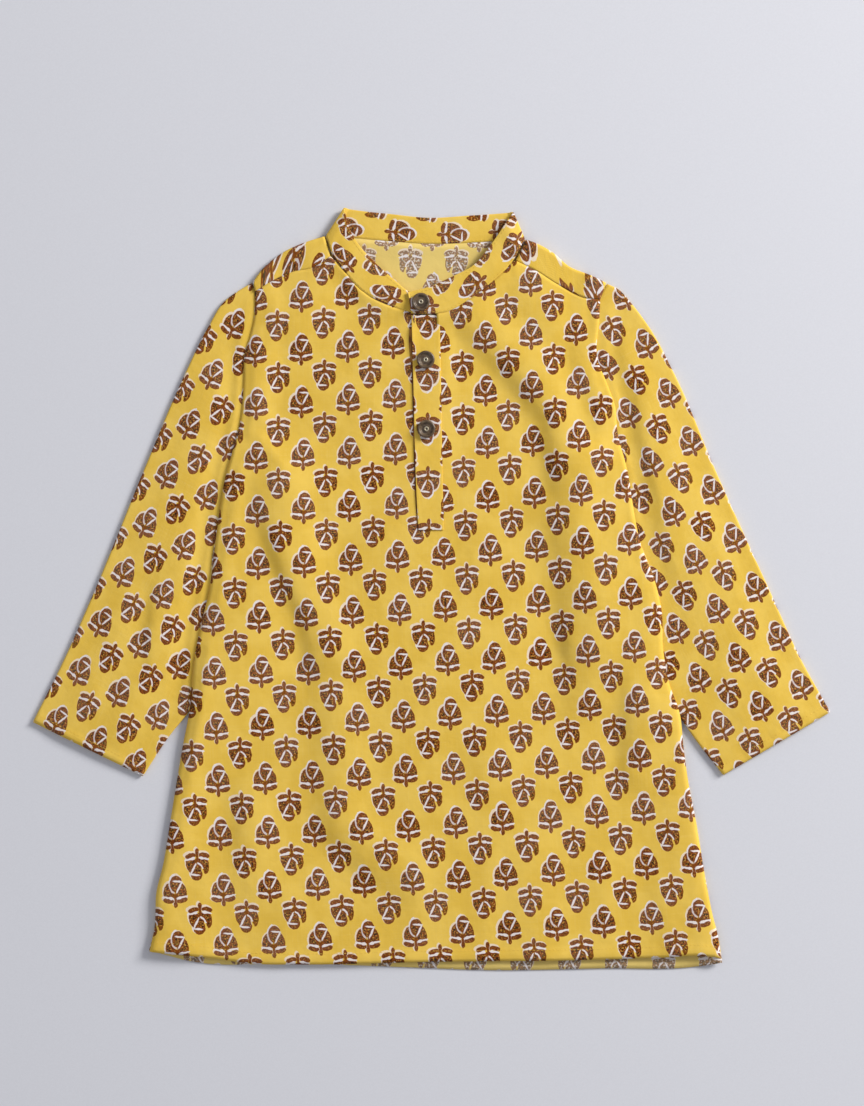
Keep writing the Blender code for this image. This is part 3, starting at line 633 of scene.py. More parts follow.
# %% [markdown]
# ## The block print
# The pattern is a common small flower motif, set upright and upside down in turn, like bricks.
# A shader can't be told "draw flower number 57 here", but it can fold space: the fraction of
# the print coordinate repeats the same small cell for ever. Inside the diamond round a whole
# number lies an upright flower, and outside it the nearest one is a half step away and turned
# round. The flower itself is a handful of ellipses. Joined with Minimum they are the brown
# block, and thin ones cut out of it are its white veins.
#
# Block printers stamp each colour by hand, so the white block sits a millimetre off the brown
# one and shows as a rim on one side. The edges wobble a little and the brown is mottled.

# %% A shorthand for building shader nodes
REPEAT_WIDE, REPEAT_HIGH = 32.5, 37.6         # one repeat of the print, mm


class Nodes:
    """Adds nodes to a tree, one short call each, so that a formula can be read as a formula."""

    def __init__(self, tree):
        self.tree = tree

    def add(self, kind, inputs=(), **settings):
        node = self.tree.nodes.new(kind)
        for key, value in settings.items():
            setattr(node, key, value)
        for key, value in dict(inputs).items():
            self.put(node.inputs[key], value)
        return node

    def put(self, socket, value):
        if isinstance(value, bpy.types.NodeSocket):
            self.tree.links.new(value, socket)
        else:
            socket.default_value = value

    def math(self, operation, *values):
        return self.add("ShaderNodeMath", enumerate(values), operation=operation).outputs[0]

    def times(self, one, other):
        return self.math("MULTIPLY", one, other)

    def less(self, value, taken_off):
        return self.math("SUBTRACT", value, taken_off)

    def larger(self, one, other):
        return self.math("MAXIMUM", one, other)

    def vector(self, operation, *values, out="Vector"):
        node = self.add("ShaderNodeVectorMath", enumerate(values), operation=operation)
        return node.outputs[out]

    def scale(self, vector, factor):
        node = self.add("ShaderNodeVectorMath", {0: vector, "Scale": factor}, operation="SCALE")
        return node.outputs[0]

    def mix(self, factor, first, second):
        """The first value turned into the second by the factor."""
        node = self.add("ShaderNodeMix", {0: factor, 2: first, 3: second}, data_type="FLOAT")
        return node.outputs[0]

    def colour(self, factor, first, second):
        """The first colour turned into the second by the factor."""
        node = self.add("ShaderNodeMix", {0: factor, 6: first, 7: second}, data_type="RGBA")
        return node.outputs[2]

    def step(self, value, low, high):
        """0 below low, 1 above high, and a smooth S between."""
        inputs = {0: value, 1: low, 2: high}
        return self.add("ShaderNodeMapRange", inputs, interpolation_type="SMOOTHSTEP").outputs[0]

    def noise(self, vector, scale, detail=2.0, out="Fac"):
        node = self.add("ShaderNodeTexNoise", {"Vector": vector, "Scale": scale, "Detail": detail})
        return node.outputs[out]

    def bump(self, height, strength, distance):
        inputs = {"Height": height, "Strength": strength, "Distance": distance}
        return self.add("ShaderNodeBump", inputs).outputs[0]

    def place(self):
        """Where a point is on the piece itself, in metres."""
        return self.add("ShaderNodeTexCoord").outputs["Object"]

    def ellipse(self, at, x, y, half_wide, half_high, turn=0.0):
        """Distance to an ellipse, about in millimetres and below 0 inside: the point is moved,
        turned and stretched until the ellipse is a circle of radius 1."""
        inputs = {"Vector": at, "Location": (x, y, 0.0), "Rotation": (0.0, 0.0, np.radians(turn)),
                  "Scale": (half_wide, half_high, 1.0)}
        node = self.add("ShaderNodeMapping", inputs, vector_type="TEXTURE")
        length = self.vector("LENGTH", node.outputs[0], out="Value")
        small = min(half_wide, half_high)
        return self.math("MULTIPLY_ADD", length, small, -small)

    def nearest(self, *distances):
        """The smallest of several distances: the shapes joined."""
        joined = distances[0]
        for distance in distances[1:]:
            joined = self.math("MINIMUM", joined, distance)
        return joined

    def ellipses(self, at, shapes):
        """Several ellipses joined, each given as x, y, half width, half height and turn."""
        return self.nearest(*[self.ellipse(at, *shape) for shape in shapes])


def node_group(name, setting, value, outputs):
    """An empty shader node group that takes the print coordinate and one number and gives out
    several numbers, and its inner input and output."""
    group = bpy.data.node_groups.new(name, "ShaderNodeTree")
    sockets = group.interface
    sockets.new_socket("Repeats", in_out="INPUT", socket_type="NodeSocketVector")
    number = sockets.new_socket(setting, in_out="INPUT", socket_type="NodeSocketFloat")
    number.default_value = value
    for label in outputs:
        sockets.new_socket(label, in_out="OUTPUT", socket_type="NodeSocketFloat")
    nodes = Nodes(group)
    given = nodes.add("NodeGroupInput").outputs
    result = nodes.add("NodeGroupOutput").inputs
    return group, nodes, given, result


def new_material(name, fixed):
    """A material with some of its shader's inputs fixed, the shorthand for its nodes, and the
    shader's inputs."""
    material = bpy.data.materials.new(name)
    material.use_nodes = True
    shader = material.node_tree.nodes["Principled BSDF"].inputs
    for label, value in fixed.items():
        shader[label].default_value = value
    return material, Nodes(material.node_tree), shader


def srgb(red, green, blue):
    """A colour given on a 0 to 255 scale, as the linear values that shaders use."""
    part = np.array([red, green, blue]) / 255
    linear = np.where(part <= 0.04045, part / 12.92, ((part + 0.055) / 1.055) ** 2.4)
    return (*linear.tolist(), 1.0)


print("one repeat of the print, mm:", REPEAT_WIDE, "by", REPEAT_HIGH)

# %% [markdown]
# ## The flower
# Here are the ellipses of each block, and the group that folds space, draws them and gives out
# a mask for each colour. A material only has to choose the colours.

# %% The flower print as a node group
# Ellipses as x, y, half width, half height and turn, in millimetres and degrees
BROWN_SHAPES = [(1.0, 6.3, 4.2, 4.9), (0.9, 3.0, 3.2, 4.8),                     # head
                (4.6, 0.8, 3.2, 6.0, 16),                                       # right wing
                (-4.6, -6.0, 3.9, 2.0, -12), (4.6, -6.0, 3.9, 2.0, 11),         # leaves
                (0.1, -8.8, 1.4, 2.4), (0.1, -4.0, 1.0, 5.4),                   # stem
                (0.3, -2.0, 3.6, 2.4)]                                          # heart
WING_UPRIGHT, WING_TURNED = (-4.4, 0.6, 3.3, 5.8, -14), (-4.8, 1.0, 2.9, 6.1, 3)
VEIN_SHAPES = [(2.2, 7.1, 3.2, 0.6, -7), (3.0, 2.9, 4.3, 0.62, 62),             # across the head
               (-4.8, -3.9, 3.7, 0.6, -12), (-2.9, -4.3, 1.7, 0.95, -14),       # over the leaves
               (4.8, -3.9, 3.7, 0.6, 11), (2.9, -4.3, 1.7, 0.95, 13)]
CURL, GAP = (1.0, 5.5, 4.7, 6.6), (-3.6, 6.0, 0.65, 3.6, 18)
WHITE_SHAPES = [(1.0, 6.2, 4.4, 5.4), (4.3, 0.8, 3.5, 6.2, 16), (-4.6, -6.0, 4.3, 2.4, -12),
                (4.6, -6.0, 4.3, 2.4, 11), (0.1, -8.8, 1.6, 2.6)]
WHITE_UPRIGHT, WHITE_TURNED = (-4.3, 0.6, 3.8, 6.2, -14), (-4.4, -0.8, 3.5, 4.0, 3)
MISPLACED = (0.9, 0.9, 0.0)           # how far a flower may lie off its place
EDGE_NOISE, EDGE_REACH = 0.55, (2.0, 2.0, 0.0)
WHITE_SHIFT, WHITE_MISPLACED = (0.6, -0.85, 0.0), 0.8
HALF = (0.5, 0.5, 0.5)                # the middle of a random colour


def build_flower_print():
    """Masks of the print at a point counted in repeats: brown block, white block, the veins of
    the white block, where the brown is stamped solid, and which flower of the cloth it is."""
    group, n, given, result = node_group("flower block print", "Wobble", 0.5,
                                         ["Brown", "White", "Vein", "Solid", "Flower"])
    repeats = given["Repeats"]
    on_cloth = n.vector("MULTIPLY", repeats, (REPEAT_WIDE, REPEAT_HIGH, 0.0))

    # fold space into one cell, then into the upright or the turned flower of that cell
    whole = n.vector("FLOOR", n.vector("ADD", repeats, (0.5, 0.5, 0.0)))
    part = n.vector("SUBTRACT", repeats, whole)
    reach = n.vector("DOT_PRODUCT", n.vector("ABSOLUTE", part), (1.0, 1.0, 0.0), out="Value")
    turned = n.math("GREATER_THAN", reach, 0.5)
    half = n.scale(n.vector("SIGN", part), 0.5)
    other = n.vector("SUBTRACT", half, part)
    local = n.vector("ADD", part, n.scale(n.vector("SUBTRACT", other, part), turned))
    number = n.vector("ADD", whole, n.scale(half, turned))
    local = n.vector("MULTIPLY", local, (REPEAT_WIDE, -REPEAT_HIGH, 0.0))

    # a printer's hand: each flower a little off its place, each edge a little uneven
    random = n.add("ShaderNodeTexWhiteNoise", {"Vector": number}, noise_dimensions="3D")
    off = n.vector("SUBTRACT", random.outputs["Color"], HALF)
    local = n.vector("ADD", local, n.vector("MULTIPLY", off, MISPLACED))
    uneven = n.noise(n.scale(on_cloth, EDGE_NOISE), 1.0, out="Color")
    uneven = n.vector("SUBTRACT", uneven, HALF)
    wobble = n.scale(n.vector("MULTIPLY", uneven, EDGE_REACH), given["Wobble"])
    at = n.vector("ADD", local, wobble)

    # the brown block; its left wing differs between the upright and the turned flower
    wing = n.mix(turned, n.ellipse(at, *WING_UPRIGHT), n.ellipse(at, *WING_TURNED))
    block = n.nearest(wing, n.ellipses(at, BROWN_SHAPES))

    # its white veins
    up = n.vector("DOT_PRODUCT", at, (0.0, 1.0, 0.0), out="Value")
    right = n.vector("DOT_PRODUCT", at, (1.0, 0.0, 0.0), out="Value")
    curl = n.math("ABSOLUTE", n.ellipse(at, *CURL))
    curl = n.larger(n.less(curl, 0.4), right)
    curl = n.larger(curl, n.times(n.less(up, 3.4), turned))
    gap = n.times(n.less(1.0, turned), 2.0)
    gap = n.math("ADD", n.ellipse(at, *GAP), gap)
    veins = n.nearest(n.ellipses(at, VEIN_SHAPES), curl)
    block = n.larger(block, n.times(n.nearest(veins, gap), -1.0))

    # the white block, stamped a little off the brown one
    side = n.math("MULTIPLY_ADD", turned, -2.0, 1.0)
    shift = n.scale(n.vector("ADD", WHITE_SHIFT, n.scale(off, WHITE_MISPLACED)), side)
    white_at = n.vector("ADD", at, shift)
    wing = n.mix(turned, n.ellipse(white_at, *WHITE_UPRIGHT), n.ellipse(white_at, *WHITE_TURNED))
    white = n.nearest(wing, n.ellipses(white_at, WHITE_SHAPES))
    within = n.times(n.math("LESS_THAN", veins, 0.05), n.math("LESS_THAN", white, 1.0))

    # the top of the head and the leaves are stamped solid, the rest is mottled
    ends = n.step(n.math("ABSOLUTE", n.less(up, 1.8)), 5.0, 6.8)
    solid = n.larger(n.step(block, -1.0, -0.35), n.times(ends, 0.5))

    n.put(result["Brown"], n.step(block, 0.1, -0.2))
    n.put(result["White"], n.larger(n.step(white, 0.2, -0.2), within))
    n.put(result["Vein"], n.step(veins, 0.5, 0.1))
    n.put(result["Solid"], solid)
    n.put(result["Flower"], random.outputs["Value"])
    return group


flower_print = build_flower_print()
print("nodes in the flower print:", len(flower_print.nodes))

# %% [markdown]
# ## Weave, slubs and dye
# Under the print the cotton is a plain weave: each thread goes over one and under one. Two
# crossed sines make that checker of little bumps. Thicker threads, called slubs, run along and
# across, so noise stretched seventyfold each way gives faint streaks. One group gives a height
# and two shades, and each material decides how strong to make them.

# %% The weave as a node group
THREAD = 0.36               # distance between threads, mm


def build_weave():
    """Height of a plain weave and a shade from slubs and uneven dye, at a point in repeats."""
    group, n, given, result = node_group("cotton weave", "Thread", THREAD,
                                         ["Height", "Slub", "Dye"])
    at = n.vector("MULTIPLY", given["Repeats"], (REPEAT_WIDE, REPEAT_HIGH, 0.0))
    turns = n.scale(at, n.math("DIVIDE", np.pi, given["Thread"]))
    xyz = n.add("ShaderNodeSeparateXYZ", {0: turns}).outputs
    over = n.times(n.math("SINE", xyz["X"]), n.math("SINE", xyz["Y"]))
    along = n.noise(n.vector("MULTIPLY", at, (2.2, 0.03, 0.0)), 1.0, 1.0)
    across = n.noise(n.vector("MULTIPLY", at, (0.03, 2.2, 0.0)), 1.0, 1.0)
    slub = n.times(n.math("ADD", along, across), 0.5)
    crinkle = n.noise(n.scale(at, 0.16), 1.0, 3.0)
    n.put(result["Height"], n.math("MULTIPLY_ADD", over, 0.03, n.times(crinkle, 0.3)))
    n.put(result["Slub"], slub)
    n.put(result["Dye"], n.noise(n.scale(at, 0.035), 1.0, 3.0))
    return group


weave = build_weave()
print("nodes in the weave:", len(weave.nodes))

# %% [markdown]
# ## The cotton, with print and weave together
# The ground is mustard with uneven dye and pale slubs. The white block lies on it, and the brown
# block over that, mottled with ochre, olive and a darker brown where the stamp held more or less
# colour. On the wrong side the dye hardly comes through, so all of it is paler there.

# %% Printed cotton, right side and wrong side
MUSTARD, MUSTARD_DEEP, MUSTARD_PALE = srgb(235, 197, 86), srgb(228, 188, 73), srgb(237, 208, 124)
WHITE_BLOCK, WHITE_VEIN = srgb(236, 218, 196), srgb(232, 226, 228)
BROWN, BROWN_DARK, BROWN_SOLID = srgb(136, 68, 6), srgb(52, 24, 2), srgb(124, 60, 10)
OCHRE, OLIVE, GREY_GHOST = srgb(198, 144, 62), srgb(98, 76, 20), srgb(186, 170, 142)
MUSTARD_WRONG, WHITE_GHOST = srgb(234, 212, 136), srgb(232, 222, 206)


def build_cotton(name, wrong_side=False):
    """Mustard cotton with the flower print. The wrong side is paler, because the dye hardly
    comes through, and the print shows there as a ghost."""
    material, n, shader = new_material(
        name, {"Specular IOR Level": 0.15, "Sheen Weight": 0.03, "Sheen Roughness": 0.5})
    repeats = n.add("ShaderNodeUVMap", uv_map=PRINT_MAP).outputs[0]
    flower = n.add("ShaderNodeGroup", node_tree=flower_print)
    cloth = n.add("ShaderNodeGroup", node_tree=weave)
    n.put(flower.inputs["Repeats"], repeats)
    n.put(cloth.inputs["Repeats"], repeats)
    flower, cloth = flower.outputs, cloth.outputs
    on_cloth = n.vector("MULTIPLY", repeats, (REPEAT_WIDE, REPEAT_HIGH, 0.0))

    ground = n.colour(n.step(cloth["Dye"], 0.38, 0.62), MUSTARD, MUSTARD_DEEP)
    ground = n.colour(n.times(n.step(cloth["Slub"], 0.5, 0.66), 0.22),
                      ground, MUSTARD_PALE)
    if wrong_side:
        ground = n.colour(0.6, ground, MUSTARD_WRONG)
    chalk = n.colour(flower["Vein"], WHITE_BLOCK, WHITE_VEIN)
    ground = n.colour(n.times(flower["White"], 0.92), ground, chalk)

    wide = n.scale(on_cloth, 0.7)
    fine = n.noise(n.scale(on_cloth, 0.9), 1.0, 0.5)
    coarse = n.noise(n.vector("ADD", wide, (7.0, 3.0, 0.0)), 1.0, 0.5)
    grey = n.noise(n.vector("ADD", wide, (31.0, 17.0, 0.0)), 1.0, 0.0)
    mottle = n.colour(n.step(coarse, 0.46, 0.56), BROWN, BROWN_DARK)
    mottle = n.colour(n.times(n.step(grey, 0.56, 0.66), 0.7), mottle, OLIVE)
    mottle = n.colour(n.times(n.step(fine, 0.55, 0.66), 0.9), mottle, OCHRE)
    block = n.colour(flower["Solid"], mottle, BROWN_SOLID)
    if wrong_side:
        block = n.colour(0.35, block, GREY_GHOST)
        block = n.colour(n.times(n.step(grey, 0.55, 0.65), 0.7), block, WHITE_GHOST)
    strength = n.math("MULTIPLY_ADD", flower["Flower"], 0.06, 0.94)
    cover = n.times(flower["Brown"], strength)
    colour = n.colour(cover, ground, block)

    n.put(shader["Base Color"], colour)
    n.put(shader["Normal"], n.bump(cloth["Height"], 1.0, MM))
    n.put(shader["Roughness"], n.mix(flower["Brown"], 0.88, 0.80))
    return material


cotton = build_cotton("printed cotton")
cotton_inside = build_cotton("printed cotton wrong side", wrong_side=True)
print("materials:", cotton.name, "and", cotton_inside.name)

# %% [markdown]
# ## Where the print falls on each piece
# The pattern follows the threads of the cloth, and the cloth was cut and laid a little askew and
# bent, so the rows of flowers lean and curve slightly. Two short polynomials give the print
# coordinate of any point: how many repeats across and how many repeats down. On the body they
# bend a little, and on the sleeves the rows are turned with the arm, without bends.

# %% Print coordinates
PRINT_RIGHT, PRINT_UP = 200.0, 250.0      # the steps that the tables below count in, mm
PRINT_FRONT = (
    # start, per step to the right, per step up, and three small bends
    (1.713, 6.155, 0.263, -0.122, 0.129, 0.021),
    (5.633, 0.347, -6.67, -0.071, 0.040, 0.049),
)
PRINT_BACK = (
    (2.167, -6.15, -0.20, 0.05, -0.04, 0.02),
    (6.555, -0.10, -6.66, 0.03, 0.02, 0.03),
)
PRINT_SLEEVE_LEFT = ((5.415, 5.827, -3.263), (-5.512, -2.57, -5.804))
PRINT_SLEEVE_RIGHT = ((-6.595, 5.817, 3.295), (-2.824, 2.486, -5.923))


def print_at(x, y, layout):
    """Repeats across and down at a point: a start, plus so much per step right and up, plus
    bends with up times up, right times up and right times right."""
    right, up = np.asarray(x) / PRINT_RIGHT, np.asarray(y) / PRINT_UP
    terms = (1 + 0 * right, right, up, up * up, right * up, right * right)
    return np.stack([sum(w * t for w, t in zip(row, terms)) for row in layout], axis=-1)


print("print at the middle of the chest:", print_at(0.0, 100.0, PRINT_FRONT).round(2))

# %% [markdown]
# ## The collar band's path
# The stand collar is one doubled strip. It starts at the left front, runs up round the back of
# the neck and comes down at the right front. Laid flat, it folds over sharply at both sides of
# the neck, so that the front halves show their outer face and the back shows its inner face.
# The front's neck edge is sewn into it and follows its seam, so its path comes first.

# %% Collar path and the edges cut from it
BAND = 1.2                  # thickness of the doubled strip
BAND_SPANS = 14             # sections per span where the band's own shape is needed
LOWEST_BAND = 1.1
FRONT_TO_COLLAR = -0.08     # the front's neck edge is sewn into the band's rounded seam edge
NECK_TOP = 229.0            # the front's neck edge ends below this


def collar_run(per_span=3):
    """Sections along the whole collar; none of it is lower than the surface allows."""
    run = spline(COLLAR, per_span)
    run[:, 4] = np.maximum(run[:, 4], LOWEST_BAND)
    return run


def front_neck(x_low, x_high):
    """The front's neck edge beside one half of the collar: the band's seam, moved straight
    across by the small overlap of the two."""
    run = collar_run()
    step = unit(np.gradient(run[:, :2], axis=0))
    edge = run[:, :2] + np.column_stack([-step[:, 1], step[:, 0]]) * FRONT_TO_COLLAR
    inside = (edge[:, 1] < NECK_TOP) & (edge[:, 0] > x_low) & (edge[:, 0] < x_high)
    return sorted(tuple(point) for point in edge[inside])


def hem_points(hem, x_from, x_to, steps):
    """Points on a hem between two places, at even steps across."""
    x = x_from + (x_to - x_from) * steps
    return np.column_stack([x, y_on(hem, x)])


print("collar length, mm:", round(run_along(collar_run()[:, 2:4], 0)[-1].sum()))

# %% [markdown]
# ## The front
# The front is cut as one piece with a slit down from the neck for the placket. Its grid is five
# Coons patches side by side: side, neck, slit, neck, side. The cells inside the slit are left
# out. Rows run up from the hem, so a line of stitches along the hem is simply a row of the grid.

# %% Front panel
SLIT_FOOT = (SLIT_FOOT_Y - SLIT[0][0]) / (SLIT[-1][0] - SLIT[0][0])
ROWS_BELOW_SLIT, ROWS_ABOVE_SLIT = 142, 70
UP = np.concatenate([np.linspace(0.0, SLIT_FOOT, ROWS_BELOW_SLIT + 1),
                     np.linspace(SLIT_FOOT, 1.0, ROWS_ABOVE_SLIT + 1)[1:]])
SIDE_ACROSS, NECK_ACROSS, SLIT_ACROSS = (np.linspace(0.0, 1.0, count) for count in (46, 41, 7))
NECK_LINE_LEFT, NECK_LINE_RIGHT = -96.0, 106.0    # where the neck lines meet the hem
NECK_SPANS = (-70.0, -14.5), (6.0, 57.5)          # x of the neck edge left and right of the slit
NECK_STEP, NECK_RISE_WIDE = 0.02, 9.0             # how the front comes up to the collar band
NECK_NEAR = 3.0                                   # and how near to the band it does so
FRONT_BAND_TOP, FRONT_BAND_LOW = 236.0, 2.5       # which sections of the band lie on the front
QUIET_EDGE = 10.0                                 # creases fade this near an edge
SIDE_ROUND, SIDE_ROUND_LOW = 0.7, 0.9             # rounding at the sides, and more on the sleeves
SEAM_ROUND, HEM_ROUND = (0.08, 1.0), (0.5, 1.2)   # depth and width of the rounding at an edge


def front_plan():
    """The front seen from above: five patches from hem to shoulder."""
    side_l = path_at(SIDE_LEFT + FRONT_ARMHOLE_LEFT, UP)
    side_r = path_at(SIDE_RIGHT + FRONT_ARMHOLE_RIGHT, UP)
    slit_l, slit_r = (path_at([(row[side], row[0]) for row in SLIT], UP) for side in (1, 2))
    ends = (NECK_LINE_LEFT, YOKE_LEFT[-1]), (NECK_LINE_RIGHT, YOKE_RIGHT[0])
    neck_l, neck_r = (path_at([(x, y_on(HEM_FRONT, x)), top], UP) for x, top in ends)
    over_left = [YOKE_LEFT[-1]] + front_neck(*NECK_SPANS[0]) + [tuple(slit_l[-1])]
    over_right = [tuple(slit_r[-1])] + front_neck(*NECK_SPANS[1]) + [YOKE_RIGHT[0]]
    lines = [(side_l, neck_l, YOKE_LEFT, SIDE_ACROSS), (neck_l, slit_l, over_left, NECK_ACROSS),
             (slit_l, slit_r, [slit_l[-1], slit_r[-1]], SLIT_ACROSS),
             (slit_r, neck_r, over_right, NECK_ACROSS), (neck_r, side_r, YOKE_RIGHT, SIDE_ACROSS)]
    return side_by_side([
        patch(hem_points(HEM_FRONT, left[0, 0], right[0, 0], steps), path_at(top, steps),
              left, right, steps, UP)
        for left, right, top, steps in lines])


def neck_rise(edge, height):
    """How far the front's top edge has to rise to meet the collar band that it is sewn to: 0
    away from the band."""
    run = collar_run(BAND_SPANS)
    run = run[(run[:, 1] < FRONT_BAND_TOP) & (run[:, 4] > FRONT_BAND_LOW)]
    apart = np.linalg.norm(edge[:, None] - run[None, :, :2], axis=-1)
    band_top = run[apart.argmin(axis=1), 4] + BAND / 2 - NECK_STEP
    return np.maximum(band_top - height, 0.0) * bell(apart.min(axis=1), NECK_NEAR)


def front_surface():
    """The front's outer face: the height rule, plus drapes and small creases, plus the turned
    hem and the rise to the collar, less the rounding at its edges."""
    plan = front_plan()
    x, y = plan[..., 0], plan[..., 1]
    from_left, from_hem = run_along(plan, 1), run_along(plan, 0)
    from_edge = np.minimum(from_left, from_left[:, -1:] - from_left)
    from_top = from_hem[-1:] - from_hem
    quiet = (1 - pressed(x, y)) * ease(from_edge / QUIET_EDGE)
    small = ridges(x, y, CREASES_FRONT) + drapes(x, y, DRAPES_FRONT) + small_waves(x, y)
    height = front_top(x, y) + small * quiet
    height += turned_hem(from_hem, from_left, HEM_DEPTH)
    height += neck_rise(plan[-1], height[-1]) * bell(from_top, NECK_RISE_WIDE)
    side_depth = SIDE_ROUND + SIDE_ROUND_LOW * below_armpit(y)
    height -= np.maximum(round_over(from_edge, side_depth), round_over(from_top, *SEAM_ROUND))
    height -= round_over(from_hem, *HEM_ROUND)
    return np.dstack([plan, height]), from_hem


front_points, front_from_hem = front_surface()
slit_first = len(SIDE_ACROSS) + len(NECK_ACROSS) - 2
front_keep = np.ones((front_points.shape[0] - 1, front_points.shape[1] - 1), bool)
front_keep[ROWS_BELOW_SLIT:, slit_first:slit_first + len(SLIT_ACROSS) - 1] = False
front_print = print_at(front_points[..., 0], front_points[..., 1], PRINT_FRONT)
front_cloth = add_cloth("front_cloth",
                        grid_mesh("front_cloth", front_points, front_print, keep=front_keep),
                        cotton, cotton_inside)
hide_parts("front_panel")
print("front grid:", front_points.shape[:2],
      "area, m²:", round(laid_area(front_points, front_keep), 4))

# %% [markdown]
# ## The back
# The back lies face down, so its outer face is the underside of the garment. At the shoulders it
# rolls over the fold and comes down on the front to the shoulder seam, which on this kurta sits
# forward of the fold. That strip is the same cloth, so its flowers carry on over the fold and
# come out upside down. Through the neck we look at the back's wrong side.

# %% Back panel
HEAD_GAP, ARMPIT_HEIGHT = 0.7, 70.0   # room beside a sleeve's head, and where that head ends
YOKE_GAP = -0.03                      # the strips over the shoulders are sewn into the front
UNDER_BAND = -0.05          # the back's neck edge touches the collar band
BACK_NECK_RISE = 1.1        # and comes up to its face
BACK_NECK_X, BACK_NECK_HALF, BACK_NECK_NEAR = -5.0, 62.0, 9.0
LOW_BAND = 1.6              # sections of the band lower than this lie behind the neck
SIDE_SEAM_TOP = 50.0        # rows of the side edge used below the armpit
BACK_QUIET, BACK_QUIET_TOP = 20.0, 232.0    # creases fade this near an edge and up to this y
FLAP_PRINT = 2.5            # shift of the print on the strips over the shoulders
BACK_UP = np.linspace(0.0, 1.0, 150)
BACK_SIDE, BACK_NECK = np.linspace(0.0, 1.0, 34), np.linspace(0.0, 1.0, 40)
ROLL_ANGLES = np.radians(np.linspace(-90.0, 90.0, 13))
FLAP_STEPS = np.linspace(0.0, 1.0, 12)[1:]


def back_edge(side_rows, head_rows, side):
    """The back's side edge: up the side seam, in over the armpit, and up beside the sleeve."""
    head = [(x - side * HEAD_GAP, y) for x, y in head_rows if y > ARMPIT_HEIGHT + 3.0]
    return [row for row in side_rows if row[1] < SIDE_SEAM_TOP] + head[::-1]


def roll_over(fold, seam, radius):
    """Rows of cloth that rolls over the shoulder: half a turn of a circle at the fold, then flat
    to the seam, where it dips into the seam line."""
    inward = unit(seam - fold)
    rows = []
    for angle in ROLL_ANGLES:
        plan = fold + inward * (radius * (1 - np.cos(angle)))[:, None]
        rows.append(np.column_stack([plan, radius * (1 + np.sin(angle))]))
    start = rows[-1]
    for part in FLAP_STEPS:
        plan = start[:, :2] * (1 - part) + seam * part
        left_over = np.linalg.norm(seam - plan, axis=1)
        rows.append(np.column_stack([plan, 2 * radius - round_over(left_over, *SEAM_ROUND)]))
    return np.array(rows)


def back_surface():
    """The back's outer face, with the strips over the shoulders as extra rows, and the print
    coordinates, which run on over the fold."""
    yoke_gap = np.array([0.0, YOKE_GAP])
    fold_l, fold_r = path_at(FOLD_LEFT, BACK_SIDE), path_at(FOLD_RIGHT, BACK_SIDE)
    seam_l = path_at(YOKE_LEFT, BACK_SIDE) + yoke_gap
    seam_r = path_at(YOKE_RIGHT, BACK_SIDE) + yoke_gap
    rolls = [roll_over(fold, seam, front_top(*seam.T) / 2)
             for fold, seam in ((fold_l, seam_l), (fold_r, seam_r))]
    side_l = back_edge(SIDE_LEFT, HEAD_LEFT, -1)
    side_r = back_edge(SIDE_RIGHT, HEAD_RIGHT, 1)
    side_l = path_at([HEM_BACK[0]] + side_l[1:-1] + [tuple(fold_l[0])], BACK_UP)
    side_r = path_at([HEM_BACK[-1]] + side_r[1:-1] + [tuple(fold_r[-1])], BACK_UP)
    ends = (NECK_LINE_LEFT, tuple(fold_l[-1])), (NECK_LINE_RIGHT, tuple(fold_r[0]))
    neck_l, neck_r = (path_at([(x, y_on(HEM_BACK, x)), top], BACK_UP) for x, top in ends)
    band = [row for row in collar_run() if row[4] < LOW_BAND]
    neck = [(row[0], row[1] + UNDER_BAND) for row in band[1:-1]]
    neck = path_at([tuple(neck_l[-1])] + neck + [tuple(neck_r[-1])], BACK_NECK)
    lines = [(side_l, neck_l, fold_l, BACK_SIDE), (neck_l, neck_r, neck, BACK_NECK),
             (neck_r, side_r, fold_r, BACK_SIDE)]
    plan = side_by_side([
        patch(hem_points(HEM_BACK, left[0, 0], right[0, 0], steps), top, left, right, steps,
              BACK_UP)
        for left, right, top, steps in lines])
    x, y = plan[..., 0], plan[..., 1]
    from_left = run_along(plan, 1)
    from_edge = np.minimum(from_left, from_left[:, -1:] - from_left)
    lift = np.maximum(ridges(x, y, CREASES_BACK) + small_waves(x, y), 0.0)
    quiet = ease(from_edge / BACK_QUIET) * ease((BACK_QUIET_TOP - y) / BACK_QUIET)
    beside = np.maximum(np.abs(x - BACK_NECK_X) - BACK_NECK_HALF, 0.0)
    from_neck = np.hypot(beside, y_on(neck, x) - y)
    height = back_height(x, y) + lift * quiet
    height += BACK_NECK_RISE * bell(from_neck, BACK_NECK_NEAR)
    flat = np.dstack([plan, height])
    gap = np.zeros((rolls[0].shape[0] - 1, len(BACK_NECK) - 2, 3))
    points = np.concatenate([flat, np.concatenate([rolls[0][1:], gap, rolls[1][1:]], axis=1)])
    cloth_y = points[..., 1].copy()
    cloth_y[len(BACK_UP):] = 2 * plan[-1, :, 1] - cloth_y[len(BACK_UP):] + FLAP_PRINT
    return points, print_at(points[..., 0], cloth_y, PRINT_BACK)


back_points, back_print = back_surface()
back_keep = np.ones((back_points.shape[0] - 1, back_points.shape[1] - 1), bool)
back_keep[len(BACK_UP) - 1:, len(BACK_SIDE) - 1:len(BACK_SIDE) + len(BACK_NECK) - 2] = False
back_cloth = add_cloth("back_cloth",
                       grid_mesh("back_cloth", back_points, back_print, keep=back_keep, flip=True),
                       cotton, cotton_inside)
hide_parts("back_panel")
print("back grid:", back_points.shape[:2],
      "area, m²:", round(laid_area(back_points, back_keep), 4))

